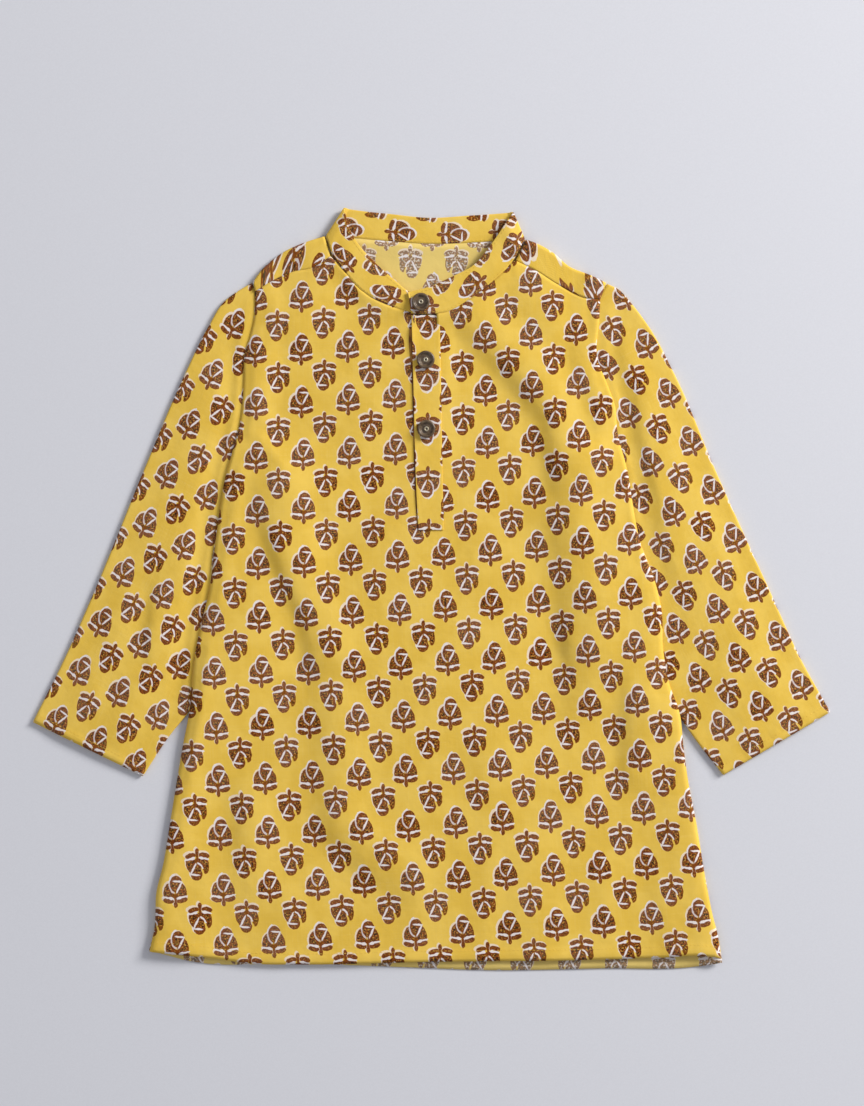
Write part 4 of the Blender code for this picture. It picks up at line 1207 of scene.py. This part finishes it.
# %% [markdown]
# ## The sleeves
# A sleeve is a tube with one seam, under the arm. Pressed flat it has a fold along the upper
# edge and the seam along the lower one. Each ring of the grid goes along the surface, round the
# fold and back on top. The print is continuous round the fold, and it breaks at the seam, so
# the underside's print coordinate is the top's, mirrored across the fold: a point moves by twice
# its distance from the fold, straight across it.

# %% Sleeves
SLEEVE_RINGS, SLEEVE_ACROSS = 132, 60
ROLL_STEPS = np.radians(np.linspace(-72.0, 72.0, 7))
SLEEVE_TOP = slice(SLEEVE_ACROSS + len(ROLL_STEPS), 2 * SLEEVE_ACROSS + len(ROLL_STEPS))
SLEEVE_SLACK, SLEEVE_SLACK_MOST = 0.25, 2.6
SLACK_EDGE, SLACK_HEAD = 0.22, 0.12       # slack fades over these shares from an edge or the head
CREASE_EDGE = 0.12                        # and creases over this share
CUFF_ROUND = (0.7, 1.2)
BEND_FROM, BEND_OVER = 0.12, 0.2          # where along the arm the print starts to follow the fold


def sleeve_slack(along, across, folds):
    """Height of the upper layer over the pressed edges: bell-shaped swells along the sleeve,
    closed towards both edges and towards the armhole."""
    total = SLEEVE_SLACK
    for a_from, c_from, a_to, c_to, height, width_a, width_c in folds:
        part = np.clip((along - a_from) / (a_to - a_from), 0.0, 1.0)
        off_a = (along - a_from - part * (a_to - a_from)) / width_a
        off_c = (across - c_from - part * (c_to - c_from)) / width_c
        total = total + height * np.exp(-off_a**2 - off_c**2)
    closed = ease(across / SLACK_EDGE) * ease((1 - across) / SLACK_EDGE) * ease(along / SLACK_HEAD)
    return SLEEVE_SLACK_MOST * np.tanh(total / SLEEVE_SLACK_MOST) * closed


def sleeve_surface(upper, underarm, head, folds, creases, falls, layout):
    """Rings of a flattened tube from armhole to cuff, and their print coordinates. The underside
    reads the print at twice its distance from the fold, taken straight across the fold's line,
    which bends with the upper edge."""
    along = np.linspace(0.0, 1.0, SLEEVE_RINGS)
    fine = np.linspace(0.0, 1.0, 61)
    left, right = path_at(upper, along), path_at(underarm, along)
    cuff = left[-1] + (right[-1] - left[-1]) * fine[:, None]
    plan = patch(path_at(head, fine), cuff, left, right, fine, along)
    inset = SLEEVE_ROLL / np.linalg.norm(right - left, axis=1)[:, None]
    floor = inset + (1 - 2 * inset) * np.linspace(0.0, 1.0, SLEEVE_ACROSS)[None, :]
    out = inset * (1 - np.cos(ROLL_STEPS))[None, :]
    rise = np.broadcast_to(SLEEVE_ROLL * (1 + np.sin(ROLL_STEPS))[None, :], out.shape)
    across = np.hstack([floor[:, ::-1], out, floor, 1 - out])
    x, y = (np.array([np.interp(row, fine, line[:, axis]) for row, line in zip(across, plan)])
            for axis in (0, 1))

    top_x, top_y = x[:, SLEEVE_TOP], y[:, SLEEVE_TOP]
    outside = -from_side(top_x, top_y)
    free = ease((outside - TUCK_MARGIN) / SIDE_SLOPE)
    beside = ease((outside - TUCK_MARGIN / 2) / TUCK_MARGIN)
    edge = ease(floor / CREASE_EDGE) * ease((1 - floor) / CREASE_EDGE)
    small = ridges(top_x, top_y, creases) + small_waves(top_x, top_y)
    from_head = run_along(np.dstack([x, y]), 0)[:, SLEEVE_TOP]
    from_cuff = from_head[-1:] - from_head
    height = SLEEVE_THICK + sleeve_slack(along[:, None], floor, folds) * free
    height = height + (small * free + drapes(top_x, top_y, falls) * beside) * edge
    hem = turned_hem(from_cuff, run_along(np.dstack([top_x, top_y]), 1), CUFF_DEPTH)
    height = height + hem - round_over(from_cuff, *CUFF_ROUND)
    floor_height = np.maximum(small_waves(x[:, :SLEEVE_ACROSS], y[:, :SLEEVE_ACROSS]), 0.0)
    z = np.hstack([floor_height * edge[:, ::-1], rise, height, rise[:, ::-1]])

    under = (np.arange(across.shape[1]) < SLEEVE_ACROSS + len(ROLL_STEPS) // 2)[None, :]
    start = left[SLEEVE_RINGS // 4]
    fold = left[-1] - start
    off_x, off_y = np.array([-fold[1], fold[0]]) / np.hypot(*fold)
    bend = ((left - start) @ (off_x, off_y) * ease((along - BEND_FROM) / BEND_OVER))[:, None]
    off = (x - start[0]) * off_x + (y - start[1]) * off_y - bend
    cloth_x, cloth_y = x - 2 * under * off * off_x, y - 2 * under * off * off_y
    cloth_x, cloth_y = (np.hstack([c, c[:, -1:]]) for c in (cloth_x, cloth_y))
    return np.dstack([x, y, z]), print_at(cloth_x, cloth_y, layout)


def build_sleeve(name, node, flip, *tables):
    """One sleeve from its tables, in place of its solid."""
    points, repeats = sleeve_surface(*tables)
    piece = add_cloth(name, grid_mesh(name, points, repeats, closed=True, flip=flip),
                      cotton, cotton_inside)
    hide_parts(node)
    return piece, points


sleeve_left_cloth, sleeve_left_points = build_sleeve(
    "sleeve_left_cloth", "sleeve_left", True, UPPER_LEFT, UNDERARM_LEFT, HEAD_LEFT,
    SLEEVE_FOLDS_LEFT, CREASES_SLEEVE_LEFT, DRAPES_SLEEVE_LEFT, PRINT_SLEEVE_LEFT)
sleeve_right_cloth, sleeve_right_points = build_sleeve(
    "sleeve_right_cloth", "sleeve_right", False, UPPER_RIGHT, UNDERARM_RIGHT, HEAD_RIGHT,
    SLEEVE_FOLDS_RIGHT, CREASES_SLEEVE_RIGHT, DRAPES_SLEEVE_RIGHT, PRINT_SLEEVE_RIGHT)
print("sleeve grid:", sleeve_left_points.shape[:2],
      "laid area, m²:", round(laid_area(sleeve_left_points), 4))

# %% [markdown]
# ## Bands: the collar and the placket
# A band is a strip of doubled cloth with a folded edge. Its middle is a narrow grid, and its
# surface goes along one face, round the folded edge, back along the other face and round the
# seamed edge: a flat profile with round ends, carried along a path. The two ends are pinched
# shut, because a maker turns them in.

# %% A band from its middle surface
TURN_STEPS = np.radians([60.0, 30.0, 0.0, -30.0, -60.0])


def band_surface(middle, thick, first_round=1.0):
    """A closed profile round each line of a middle grid: along one face, half a thickness up its
    normal, round the edge on a half circle, back on the other face and round the first edge.
    That edge is a half circle too, or squarer where it is sewn down."""
    out = np.gradient(middle, axis=1)
    normal, out = unit(np.cross(np.gradient(middle, axis=0), out)), unit(out)
    half = thick / 2
    cosine, sine = np.cos(TURN_STEPS)[None, :, None], np.sin(TURN_STEPS)[None, :, None]
    far = middle[:, -1:] + half * (cosine * out[:, -1:] + sine * normal[:, -1:])
    near = middle[:, :1] - half * (first_round * cosine * out[:, :1] + sine * normal[:, :1])
    first, second = middle + half * normal, middle - half * normal
    points = np.concatenate([first, far, second[:, ::-1], near], axis=1)
    pinched = [ring - ((ring - line[0]) @ up)[:, None] * up
               for ring, line, up in ((points[0], middle[0], normal[0, 0]),
                                      (points[-1], middle[-1], normal[-1, 0]))]
    return np.concatenate([pinched[0][None], points, pinched[1][None]])


def band_columns(columns):
    """For each column of a band's surface, which column of its middle it lies over, and whether
    it is on the second face. The closing column repeats the first edge."""
    steps, turns = np.arange(columns), len(TURN_STEPS)
    last, first = np.full(turns, columns - 1), np.zeros(turns + 1, int)
    over = np.concatenate([steps, last, steps[::-1], first])
    second = np.arange(len(over)) > columns + turns // 2
    return over, second


def weld(mesh):
    """Joins the points that lie on each other at a pinched end or a pole."""
    work = bmesh.new()
    work.from_mesh(mesh)
    bmesh.ops.remove_doubles(work, verts=work.verts, dist=1e-6)
    bmesh.ops.recalc_face_normals(work, faces=work.faces)
    work.to_mesh(mesh)
    work.free()
    mesh.shade_smooth()
    return mesh


print("steps round a folded edge:", len(TURN_STEPS))

# %% [markdown]
# ## The band round the neck
# The band's middle runs straight from its seam to its free edge at each section, with a slight
# crown. Its flowers lie along it, so the print coordinate counts length along the band one way
# and distance from the seam the other way. Each face is a layer with a phase of its own.

# %% The collar band
COLLAR_ACROSS = np.linspace(0.0, 1.0, 15)
SEWN_ROUND = 0.12            # the band's sewn edge is nearly square, so the front meets it flush
INNER_FLOWER, OUTER_FLOWER = (143.9, 6.6), (71.9, 5.5)    # one flower's place along and across
INNER_REPEAT, OUTER_REPEAT = 36.3, 37.6                   # repeat along the band
OUTER_EASE = 20.8                                         # cloth eased in round the back
OUTER_EASE_FROM = 110.0                                   # from here along, over the same length
TURN_WINDOW = 15                                          # sections averaged for a direction
RAISED = 2.0                 # sections higher than this lie loose on the front
COLLAR_CROWN = 0.35          # how much the doubled strip swells between its two edges


def collar_middle():
    """Straight lines from the seam to the free edge at each section, with a slight crown, so
    that the doubled strip looks soft: four times t times one less t. Two sines along the seam
    give it the ripple of cloth that was eased in."""
    run = collar_run(BAND_SPANS)
    seam = np.column_stack([run[:, 0:2], run[:, 4]])
    edge = np.column_stack([run[:, 2:4], run[:, 4]])
    inset = BAND / 2 / np.linalg.norm(edge - seam, axis=1)[:, None, None]
    t = inset * SEWN_ROUND + (1 - inset * (1 + SEWN_ROUND)) * COLLAR_ACROSS[None, :, None]
    middle = seam[:, None] * (1 - t) + edge[:, None] * t
    laid = ease((run[:, 4] - RAISED) / RAISED)[:, None]
    middle[..., 2] += COLLAR_CROWN * laid * (4 * t * (1 - t))[..., 0]
    along = run_along((seam + edge) / 2, 0)
    ripple = 0.12 * np.sin(along / 5.2 + np.sin(along / 13.0)) + 0.08 * np.sin(along / 2.9)
    middle[..., 2] += (ripple * laid[:, 0])[:, None] * (1 - COLLAR_ACROSS[None, :])
    return middle, along


def collar_print(middle, along):
    """Print coordinates of the band, whose flowers lie along it. A section that leans over has
    its seam end and its free end at different distances along, by its offset in the direction
    of the band. The two faces are two layers, each with its own phase, and the outer one is
    eased a little round the back, where its seam takes up some cloth."""
    line = middle[:, middle.shape[1] // 2, :2]
    window = np.ones(TURN_WINDOW) / TURN_WINDOW
    steps = np.pad(np.gradient(line, axis=0), ((TURN_WINDOW // 2,) * 2, (0, 0)), mode="edge")
    ahead = unit(np.column_stack([np.convolve(column, window, "valid") for column in steps.T]))
    rows = along[:, None] + ((middle[..., :2] - line[:, None]) * ahead[:, None]).sum(axis=-1)
    outer_rows = rows - OUTER_EASE * ease((rows - OUTER_EASE_FROM) / OUTER_EASE_FROM)
    across = run_along(middle, 1)
    inner = np.dstack([(INNER_FLOWER[1] - across) / REPEAT_WIDE,
                       (INNER_FLOWER[0] - rows) / INNER_REPEAT])
    outer = np.dstack([(across - OUTER_FLOWER[1]) / REPEAT_WIDE,
                       (OUTER_FLOWER[0] - outer_rows) / OUTER_REPEAT])
    over, second = band_columns(middle.shape[1])
    repeats = np.where(second[None, :, None], outer[:, over], inner[:, over])
    return np.concatenate([repeats[:1], repeats, repeats[-1:]])


collar_line, collar_along = collar_middle()
collar_points = band_surface(collar_line, BAND, SEWN_ROUND)
collar_mesh = grid_mesh("collar_cloth", collar_points, collar_print(collar_line, collar_along),
                        closed=True, flip=True)
collar_cloth = add_piece("collar_cloth", weld(collar_mesh), cotton)
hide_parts("collar_band")
print("collar grid:", collar_points.shape[:2], "length, mm:", round(float(collar_along[-1])))

# %% [markdown]
# ## The placket
# Two strips close the slit: one under it, which belongs to the left edge, and one over it, which
# carries the buttons and covers the slit. The upper strip's left edge is a free fold, so it
# stands up a little and throws the thin dark line down the chest. It was cut the other way up,
# so its single row of flowers hangs head down. Beside that fold a narrow red-brown line shows:
# the painted shadow of the gap under the fold, partly the brown print of the slit's turned-in
# edge, drawn as a thin strip that lies on the front and runs in under the fold.

# %% Placket strips
PLACKET_ACROSS = 14
PLACKET_LIP = 0.5            # how far the free fold stands up
PLACKET_GAPE = 2.0           # and how much more near its top, where it gapes
PLACKET_DRAWN = 0.6          # thickness of a strip as drawn
PLACKET_OVER_GAP = 0.12      # between the front and the strip over it
OVER_FLOWER = (-3.15, -1.75, 186.6, 37.3)     # x at the top and at the foot, y of one, repeat
PLACKET_SPANS = 34
STRIP_INSET = 0.5            # room for the round edges of a strip
LIP_WIDE = 3.0               # how soon the lip comes down across the strip
LIP_FOOT, LIP_TOP = (4.0, 20.0), (3.0, 8.0)   # where it starts and ends, and over what length
GAPE_LONG, GAPE_STRIP, GAPE_SLIT = 13.0, 14.0, 10.0    # the gape, and its place below the top
SLIT_PEEK, SLIT_PEEK_TOP = 0.6, 1.5           # how far the strip of painted gap shade peeks out
SLIT_TUCK, SLIT_EDGE_THICK = 1.2, 0.06        # how far it runs under the strip, its thickness
SLIT_EDGE_GAP = 0.01
SLIT_EDGE_ROWS = slice(2, -8)                 # it starts above the foot and ends below the top


def gape(top, y, below):
    """1 where the placket's fold gapes most, a bell curve of the distance to that place."""
    return bell(top - below - y, GAPE_LONG)


def placket_middle(rows, height, lip=0.0):
    """A strip between two edges that follow the rows, half a thickness over the height rule,
    with its left edge raised by a short exponential lip."""
    table = spline(rows, PLACKET_SPANS)[::-1]
    wide = table[:, 2:3] - table[:, 1:2]
    inset = STRIP_INSET / wide
    t = inset + (1 - 2 * inset) * np.linspace(0.0, 1.0, PLACKET_ACROSS)[None, :]
    x = table[:, 1:2] + wide * t
    y = np.broadcast_to(table[:, 0:1], x.shape)
    top, foot = rows[0][0], rows[-1][0]
    stands = lip * (1 + PLACKET_GAPE * gape(top, y, GAPE_STRIP))
    stands = stands * ease((y - foot - LIP_FOOT[0]) / LIP_FOOT[1])
    stands = stands * ease((top - LIP_TOP[0] - y) / LIP_TOP[1])
    z = height(x, y) + PLACKET_DRAWN / 2 + stands * np.exp(-t * wide / LIP_WIDE)
    return np.dstack([x, y, z])


def strip_piece(name, middle, repeats):
    """A doubled strip of the printed cotton round its middle grid."""
    over, _ = band_columns(middle.shape[1])
    repeats = repeats[:, over]
    repeats = np.concatenate([repeats[:1], repeats, repeats[-1:]])
    mesh = grid_mesh(name, band_surface(middle, PLACKET_DRAWN), repeats, closed=True, flip=True)
    piece = add_piece(name, weld(mesh), cotton)
    return piece


over_line = placket_middle(PLACKET_OVER, lambda x, y: front_top(x, y) + PLACKET_OVER_GAP,
                           PLACKET_LIP)
under_line = placket_middle(PLACKET_UNDER, lambda x, y: front_top(x, y) - CLOTH)
top_x, foot_x, flower_y, repeat = OVER_FLOWER
placket_length = PLACKET_OVER[0][0] - PLACKET_OVER[-1][0]
down = (PLACKET_OVER[0][0] - over_line[..., 1]) / placket_length
over_print = np.dstack([(top_x + (foot_x - top_x) * down - over_line[..., 0]) / REPEAT_WIDE,
                        (over_line[..., 1] - flower_y) / repeat])
placket_over_cloth = strip_piece("placket_over_cloth", over_line, over_print)
placket_under_cloth = strip_piece("placket_under_cloth", under_line,
                                  print_at(under_line[..., 0], under_line[..., 1], PRINT_FRONT))


def build_edge_print_and_gap_shade():
    """Painted shadow of the gap under the placket's fold, red-brown like the print of the slit's
    turned-in edge, and paler in random patches.
    """
    material, n, shader = new_material("edge print and painted gap shade", {"Roughness": 0.85})
    patchy = n.step(n.noise(n.vector("MULTIPLY", n.place(), (300.0, 90.0, 300.0)), 1.0), 0.5, 0.68)
    # the red-brown is painted shadow of the gap, partly the print of the turned-in edge
    n.put(shader["Base Color"], n.colour(patchy, srgb(104, 52, 22), srgb(176, 122, 52)))
    return material


def slit_print_and_gap_shade():
    """A narrow strip of painted gap shade on the front beside the placket's free fold, widest
    where the fold gapes.
    """
    table = spline(PLACKET_OVER, PLACKET_SPANS)[::-1][SLIT_EDGE_ROWS]
    y, left = table[:, 0:1], table[:, 1:2]
    peek = SLIT_PEEK + SLIT_PEEK_TOP * gape(y[-1], y, GAPE_SLIT)
    x = left - peek + (peek + SLIT_TUCK) * np.linspace(0.0, 1.0, 5)[None, :]
    y = np.broadcast_to(y, x.shape)
    return np.dstack([x, y, front_top(x, y) + SLIT_EDGE_THICK + SLIT_EDGE_GAP])


# a strip of painted gap shade beside the fold, partly the turned-in edge's print
edge_points = slit_print_and_gap_shade()
edge_mesh = grid_mesh("slit_print_and_gap_shade_cloth", edge_points, edge_points[..., :2] / REPEAT_WIDE)
slit_print_and_gap_shade_cloth = add_cloth("slit_print_and_gap_shade_cloth", edge_mesh, build_edge_print_and_gap_shade(), cotton_inside,
                            SLIT_EDGE_THICK)
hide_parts("placket_over")
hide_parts("placket_under")
print("placket length, mm:", round(placket_length))

# %% [markdown]
# ## Stitches
# Every row of stitches is the same small spindle of thread, repeated along a line on the cloth.
# One spindle has 26 points, once its ends are joined. Placing it hundreds of times is one
# multiplication of arrays: each point is a centre, plus so much along the line, plus so much
# across it and up.

# %% A row of stitches
STITCH, STITCH_GAP, STITCH_WIDE, STITCH_HIGH = 2.0, 0.8, 0.34, 0.2
STITCH_RINGS, STITCH_SIDES = np.array([-1.0, -0.8, -0.35, 0.35, 0.8, 1.0]), 6
BACK_HEM_ROWS = 60          # rows of the back that reach past its hem's stitches
# which sections of the collar carry stitches: its two front halves and the back of the neck
LEFT_FRONT, RIGHT_FRONT, NECK_BACK = slice(12, 100), slice(218, 290), slice(106, 196)


def build_thread():
    """Mustard sewing thread, a little lighter than the cloth, with a soft twist in its colour."""
    material, n, shader = new_material("sewing thread", {"Roughness": 0.7})
    twist = n.noise(n.place(), 2600.0, 1.0)
    colour = n.colour(n.step(twist, 0.4, 0.6), srgb(214, 172, 58), srgb(238, 204, 92))
    n.put(shader["Base Color"], colour)
    n.put(shader["Normal"], n.bump(twist, 0.6, 0.0001))
    return material


def stitches_along(path):
    """Spindles along a line: a centre each, its direction from the points just before and after
    it, and rings whose size is the square root of one less t squared."""
    run = run_along(path, 0)
    count = max(int(run[-1] // (STITCH + STITCH_GAP)), 1)
    centre_run = (np.arange(count) + 0.5) * run[-1] / count
    centre = read_off(centre_run, run, path)
    ahead = unit(read_off(centre_run + 0.5, run, path) - read_off(centre_run - 0.5, run, path))
    side = np.column_stack([-ahead[:, 1], ahead[:, 0], 0 * ahead[:, 0]])
    up = np.cross(ahead, side)
    t = STITCH_RINGS[:, None]
    size = np.sqrt(1 - t**2)
    angle = (np.arange(STITCH_SIDES) * 2 * np.pi / STITCH_SIDES)[None, :]
    across = size * np.cos(angle) * STITCH_WIDE / 2
    rise = size * np.sin(angle) * STITCH_HIGH
    forward = np.broadcast_to(t * STITCH / 2, across.shape)
    points = (centre[:, None, None] + forward[None, ..., None] * ahead[:, None, None]
              + across[None, ..., None] * side[:, None, None]
              + rise[None, ..., None] * up[:, None, None])
    return points.reshape(count, -1, 3)


def add_stitches(name, paths):
    """One mesh with the stitches of several rows."""
    spindles = np.concatenate([stitches_along(path) for path in paths])
    count, each = spindles.shape[:2]
    quads = quads_between(np.arange(each).reshape(-1, STITCH_SIDES)).reshape(-1, 4)
    faces = (np.arange(count)[:, None, None] * each + quads[None]).reshape(-1, 4)
    mesh = bpy.data.meshes.new(name)
    mesh.from_pydata((spindles.reshape(-1, 3) * MM).tolist(), [], faces.tolist())
    piece = add_piece(name, weld(mesh), thread)
    return piece, len(spindles)


def line_inside(points, distance_run, distance):
    """The line on a grid at one distance from its first row, found on each column."""
    return np.array([[np.interp(distance, distance_run[:, j], points[:, j, k]) for k in range(3)]
                     for j in range(points.shape[1])])


thread = build_thread()
front_hem_row = line_inside(front_points, front_from_hem, HEM_DEPTH)[1:-1]
hem_part = back_points[:BACK_HEM_ROWS]
back_hem_row = line_inside(hem_part, run_along(hem_part, 0), HEM_DEPTH)[1:-1]
cuff_rows = []
for points in (sleeve_left_points, sleeve_right_points):
    from_cuff = points[::-1]
    ring = line_inside(from_cuff, run_along(from_cuff, 0), CUFF_DEPTH)
    cuff_rows += [ring[SLEEVE_TOP][1:-1], ring[:SLEEVE_ACROSS][1:-1]]
inner_side = collar_points[1:-1]
outer_first = len(COLLAR_ACROSS) + len(TURN_STEPS)
outer_side = inner_side[:, outer_first:outer_first + len(COLLAR_ACROSS)][:, ::-1]
collar_rows = [outer_side[LEFT_FRONT, 1], outer_side[RIGHT_FRONT, 1], inner_side[NECK_BACK, 1],
               outer_side[LEFT_FRONT, -2], outer_side[RIGHT_FRONT, -2]]
body_stitches, body_count = add_stitches("body_stitches", [front_hem_row])
back_stitches, back_count = add_stitches("back_stitches", [back_hem_row])
cuff_stitches, cuff_count = add_stitches("cuff_stitches", cuff_rows)
collar_stitches, collar_count = add_stitches("collar_stitches", collar_rows)
print("stitches:", body_count + back_count + cuff_count + collar_count)

# %% [markdown]
# ## The buttons
# Each button is turned on a lathe, so it is a profile carried round a circle. It has a rounded
# rim, a dished face with fine grooves, and a small pale eyelet in the middle through which it is
# sewn. Horn is dark and streaked, and its polish shows as a soft clear coat.

# %% Turned buttons
BUTTON_STEPS = 72
BUTTON_PROFILE = [
    (0, 1.45), (1.4, 1.45), (1.9, 1.6), (3.9, 1.72), (4.35, 2.2), (4.9, 2.72), (5.5, 2.8),
    (6.05, 2.5), (6.25, 1.9), (6.1, 1), (5.6, 0.35), (4.8, 0), (0, 0),
]
EYELET_RADIUS, EYELET_THICK, EYELET_HEIGHT = 1.2, 0.55, 1.62
GROOVE_DEEP, GROOVE_TURN = 0.07, 9.0          # depth, and radians a millimetre
DISH_FROM, DISH_TO, DISH_FADE = 1.7, 4.1, 0.5  # radii between which the grooves lie
BUTTON_SHANK = 0.3           # thread between a button and the strip it is sewn to


def turned(name, profile, centre):
    """A profile of radius and height carried round a circle."""
    angle = np.linspace(0.0, 2 * np.pi, BUTTON_STEPS, endpoint=False)[None, :]
    radius, height = profile[:, 0:1], profile[:, 1:2]
    points = np.dstack([centre[0] + radius * np.cos(angle), centre[1] + radius * np.sin(angle),
                        centre[2] + height + 0 * angle])
    around = np.linspace(0.0, 1.0, BUTTON_STEPS + 1)[None, :] + 0 * height
    repeats = np.dstack([around, height + 0 * around])
    return weld(grid_mesh(name, points, repeats, closed=True))


def button_profile():
    """The profile as a smooth curve, with fine grooves on the dished part: a small sine of the
    radius, faded in and out."""
    curve = spline(BUTTON_PROFILE, 10)
    radius, height = curve.T
    dished = ease((radius - DISH_FROM) / DISH_FADE) * ease((DISH_TO - radius) / DISH_FADE)
    height = height + GROOVE_DEEP * dished * (height > 1.0) * np.sin(radius * GROOVE_TURN)
    return np.column_stack([np.maximum(radius, 0.0), height])


def eyelet_profile():
    """A small ring: a circle off the axis, closed on itself."""
    angle = np.linspace(0.0, 2 * np.pi, 17)
    return np.column_stack([EYELET_RADIUS + EYELET_THICK * np.cos(angle),
                            EYELET_HEIGHT + EYELET_THICK * np.sin(angle)])


def build_horn():
    """Dark horn: brown clouds and paler streaks under a soft clear coat."""
    material, n, shader = new_material("dark horn", {"Coat Weight": 0.35, "Coat Roughness": 0.3})
    streak = n.noise(n.vector("MULTIPLY", n.place(), (260.0, 900.0, 260.0)), 1.0, 3.0)
    cloud = n.step(n.noise(n.place(), 320.0), 0.35, 0.65)
    colour = n.colour(cloud, srgb(60, 44, 28), srgb(96, 76, 52))
    pale = n.times(n.step(streak, 0.5, 0.68), 0.5)
    n.put(shader["Base Color"], n.colour(pale, colour, srgb(128, 110, 84)))
    n.put(shader["Roughness"], n.mix(streak, 0.36, 0.52))
    n.put(shader["Normal"], n.bump(streak, 0.5, 0.00005))
    return material


def build_eyelet():
    """A dull pale metal eyelet with a little wear in its colour."""
    material, n, shader = new_material("pale eyelet", {"Metallic": 0.5})
    wear = n.noise(n.place(), 1400.0)
    colour = n.colour(n.step(wear, 0.4, 0.62), srgb(206, 198, 178), srgb(160, 148, 122))
    n.put(shader["Base Color"], colour)
    n.put(shader["Roughness"], n.mix(wear, 0.35, 0.6))
    return material


horn, eyelet = build_horn(), build_eyelet()
for number in (1, 2, 3):
    low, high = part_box(f"button_{number}")
    centre = [(low.x + high.x) / 2 / MM, (low.y + high.y) / 2 / MM, low.z / MM]
    if number > 1:
        strip_top = front_top(*np.array(centre[:2])) + PLACKET_OVER_GAP + PLACKET_DRAWN
        centre[2] = float(strip_top) + BUTTON_SHANK
    button = add_piece(f"button_{number}_horn", turned("button", button_profile(), centre), horn)
    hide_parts(f"button_{number}")
    add_piece(f"button_{number}_eyelet", turned("eyelet", eyelet_profile(), centre), eyelet)
    print("button", number, "at x, y, mm:", [round(side, 1) for side in centre[:2]])

# %% [markdown]
# ## Floor and light
# The surface is a pale grey, faintly lilac paper. One large soft light stands to the upper right,
# so shadows fall softly to the lower left. The pale surroundings and a weak second light fill
# them in.

# %% Floor, lamps and surroundings
FLOOR_HALF, FLOOR_AT = 3.0, -0.0004
SURROUNDINGS = (0.93, 0.94, 1.0, 1.0), 0.39         # colour and strength
LIGHTS = [
    # name, place, size, power, colour
    ("key", (3.0, 1.9, 1.75), 1.3, 193.0, (1.0, 0.985, 0.965)),
    ("fill", (-1.6, -0.6, 2.2), 2.2, 5.0, (0.97, 0.98, 1.0)),
]

floor_mesh = bpy.data.meshes.new("floor")
corners = [(x * FLOOR_HALF, y * FLOOR_HALF, FLOOR_AT)
           for x, y in ((-1, -1), (1, -1), (1, 1), (-1, 1))]
floor_mesh.from_pydata(corners, [], [(0, 1, 2, 3)])
floor = new_object("floor", floor_mesh)
paper, n, shader = new_material("pale paper", {"Roughness": 0.9})
grain = n.noise(n.place(), 900.0)
n.put(shader["Base Color"], n.colour(grain, srgb(210, 211, 217), srgb(218, 219, 225)))
floor_mesh.materials.append(paper)


def area_light(name, at, size, power, colour):
    """A square soft light that faces the middle of the garment."""
    lamp = bpy.data.lights.new(name, "AREA")
    lamp.size, lamp.energy, lamp.color = size, power, colour
    holder = new_object(name, lamp)
    holder.location = at
    holder.rotation_euler = (-holder.location).to_track_quat("-Z", "Y").to_euler()
    return holder


lamps = [area_light(*row) for row in LIGHTS]
surroundings = bpy.data.worlds.new("surroundings")
surroundings.use_nodes = True
for label, value in zip(("Color", "Strength"), SURROUNDINGS):
    surroundings.node_tree.nodes["Background"].inputs[label].default_value = value
bpy.context.scene.world = surroundings
bpy.context.scene.view_settings.view_transform = "Standard"    # plain colours, as in print
print("lights:", [lamp.name for lamp in lamps])
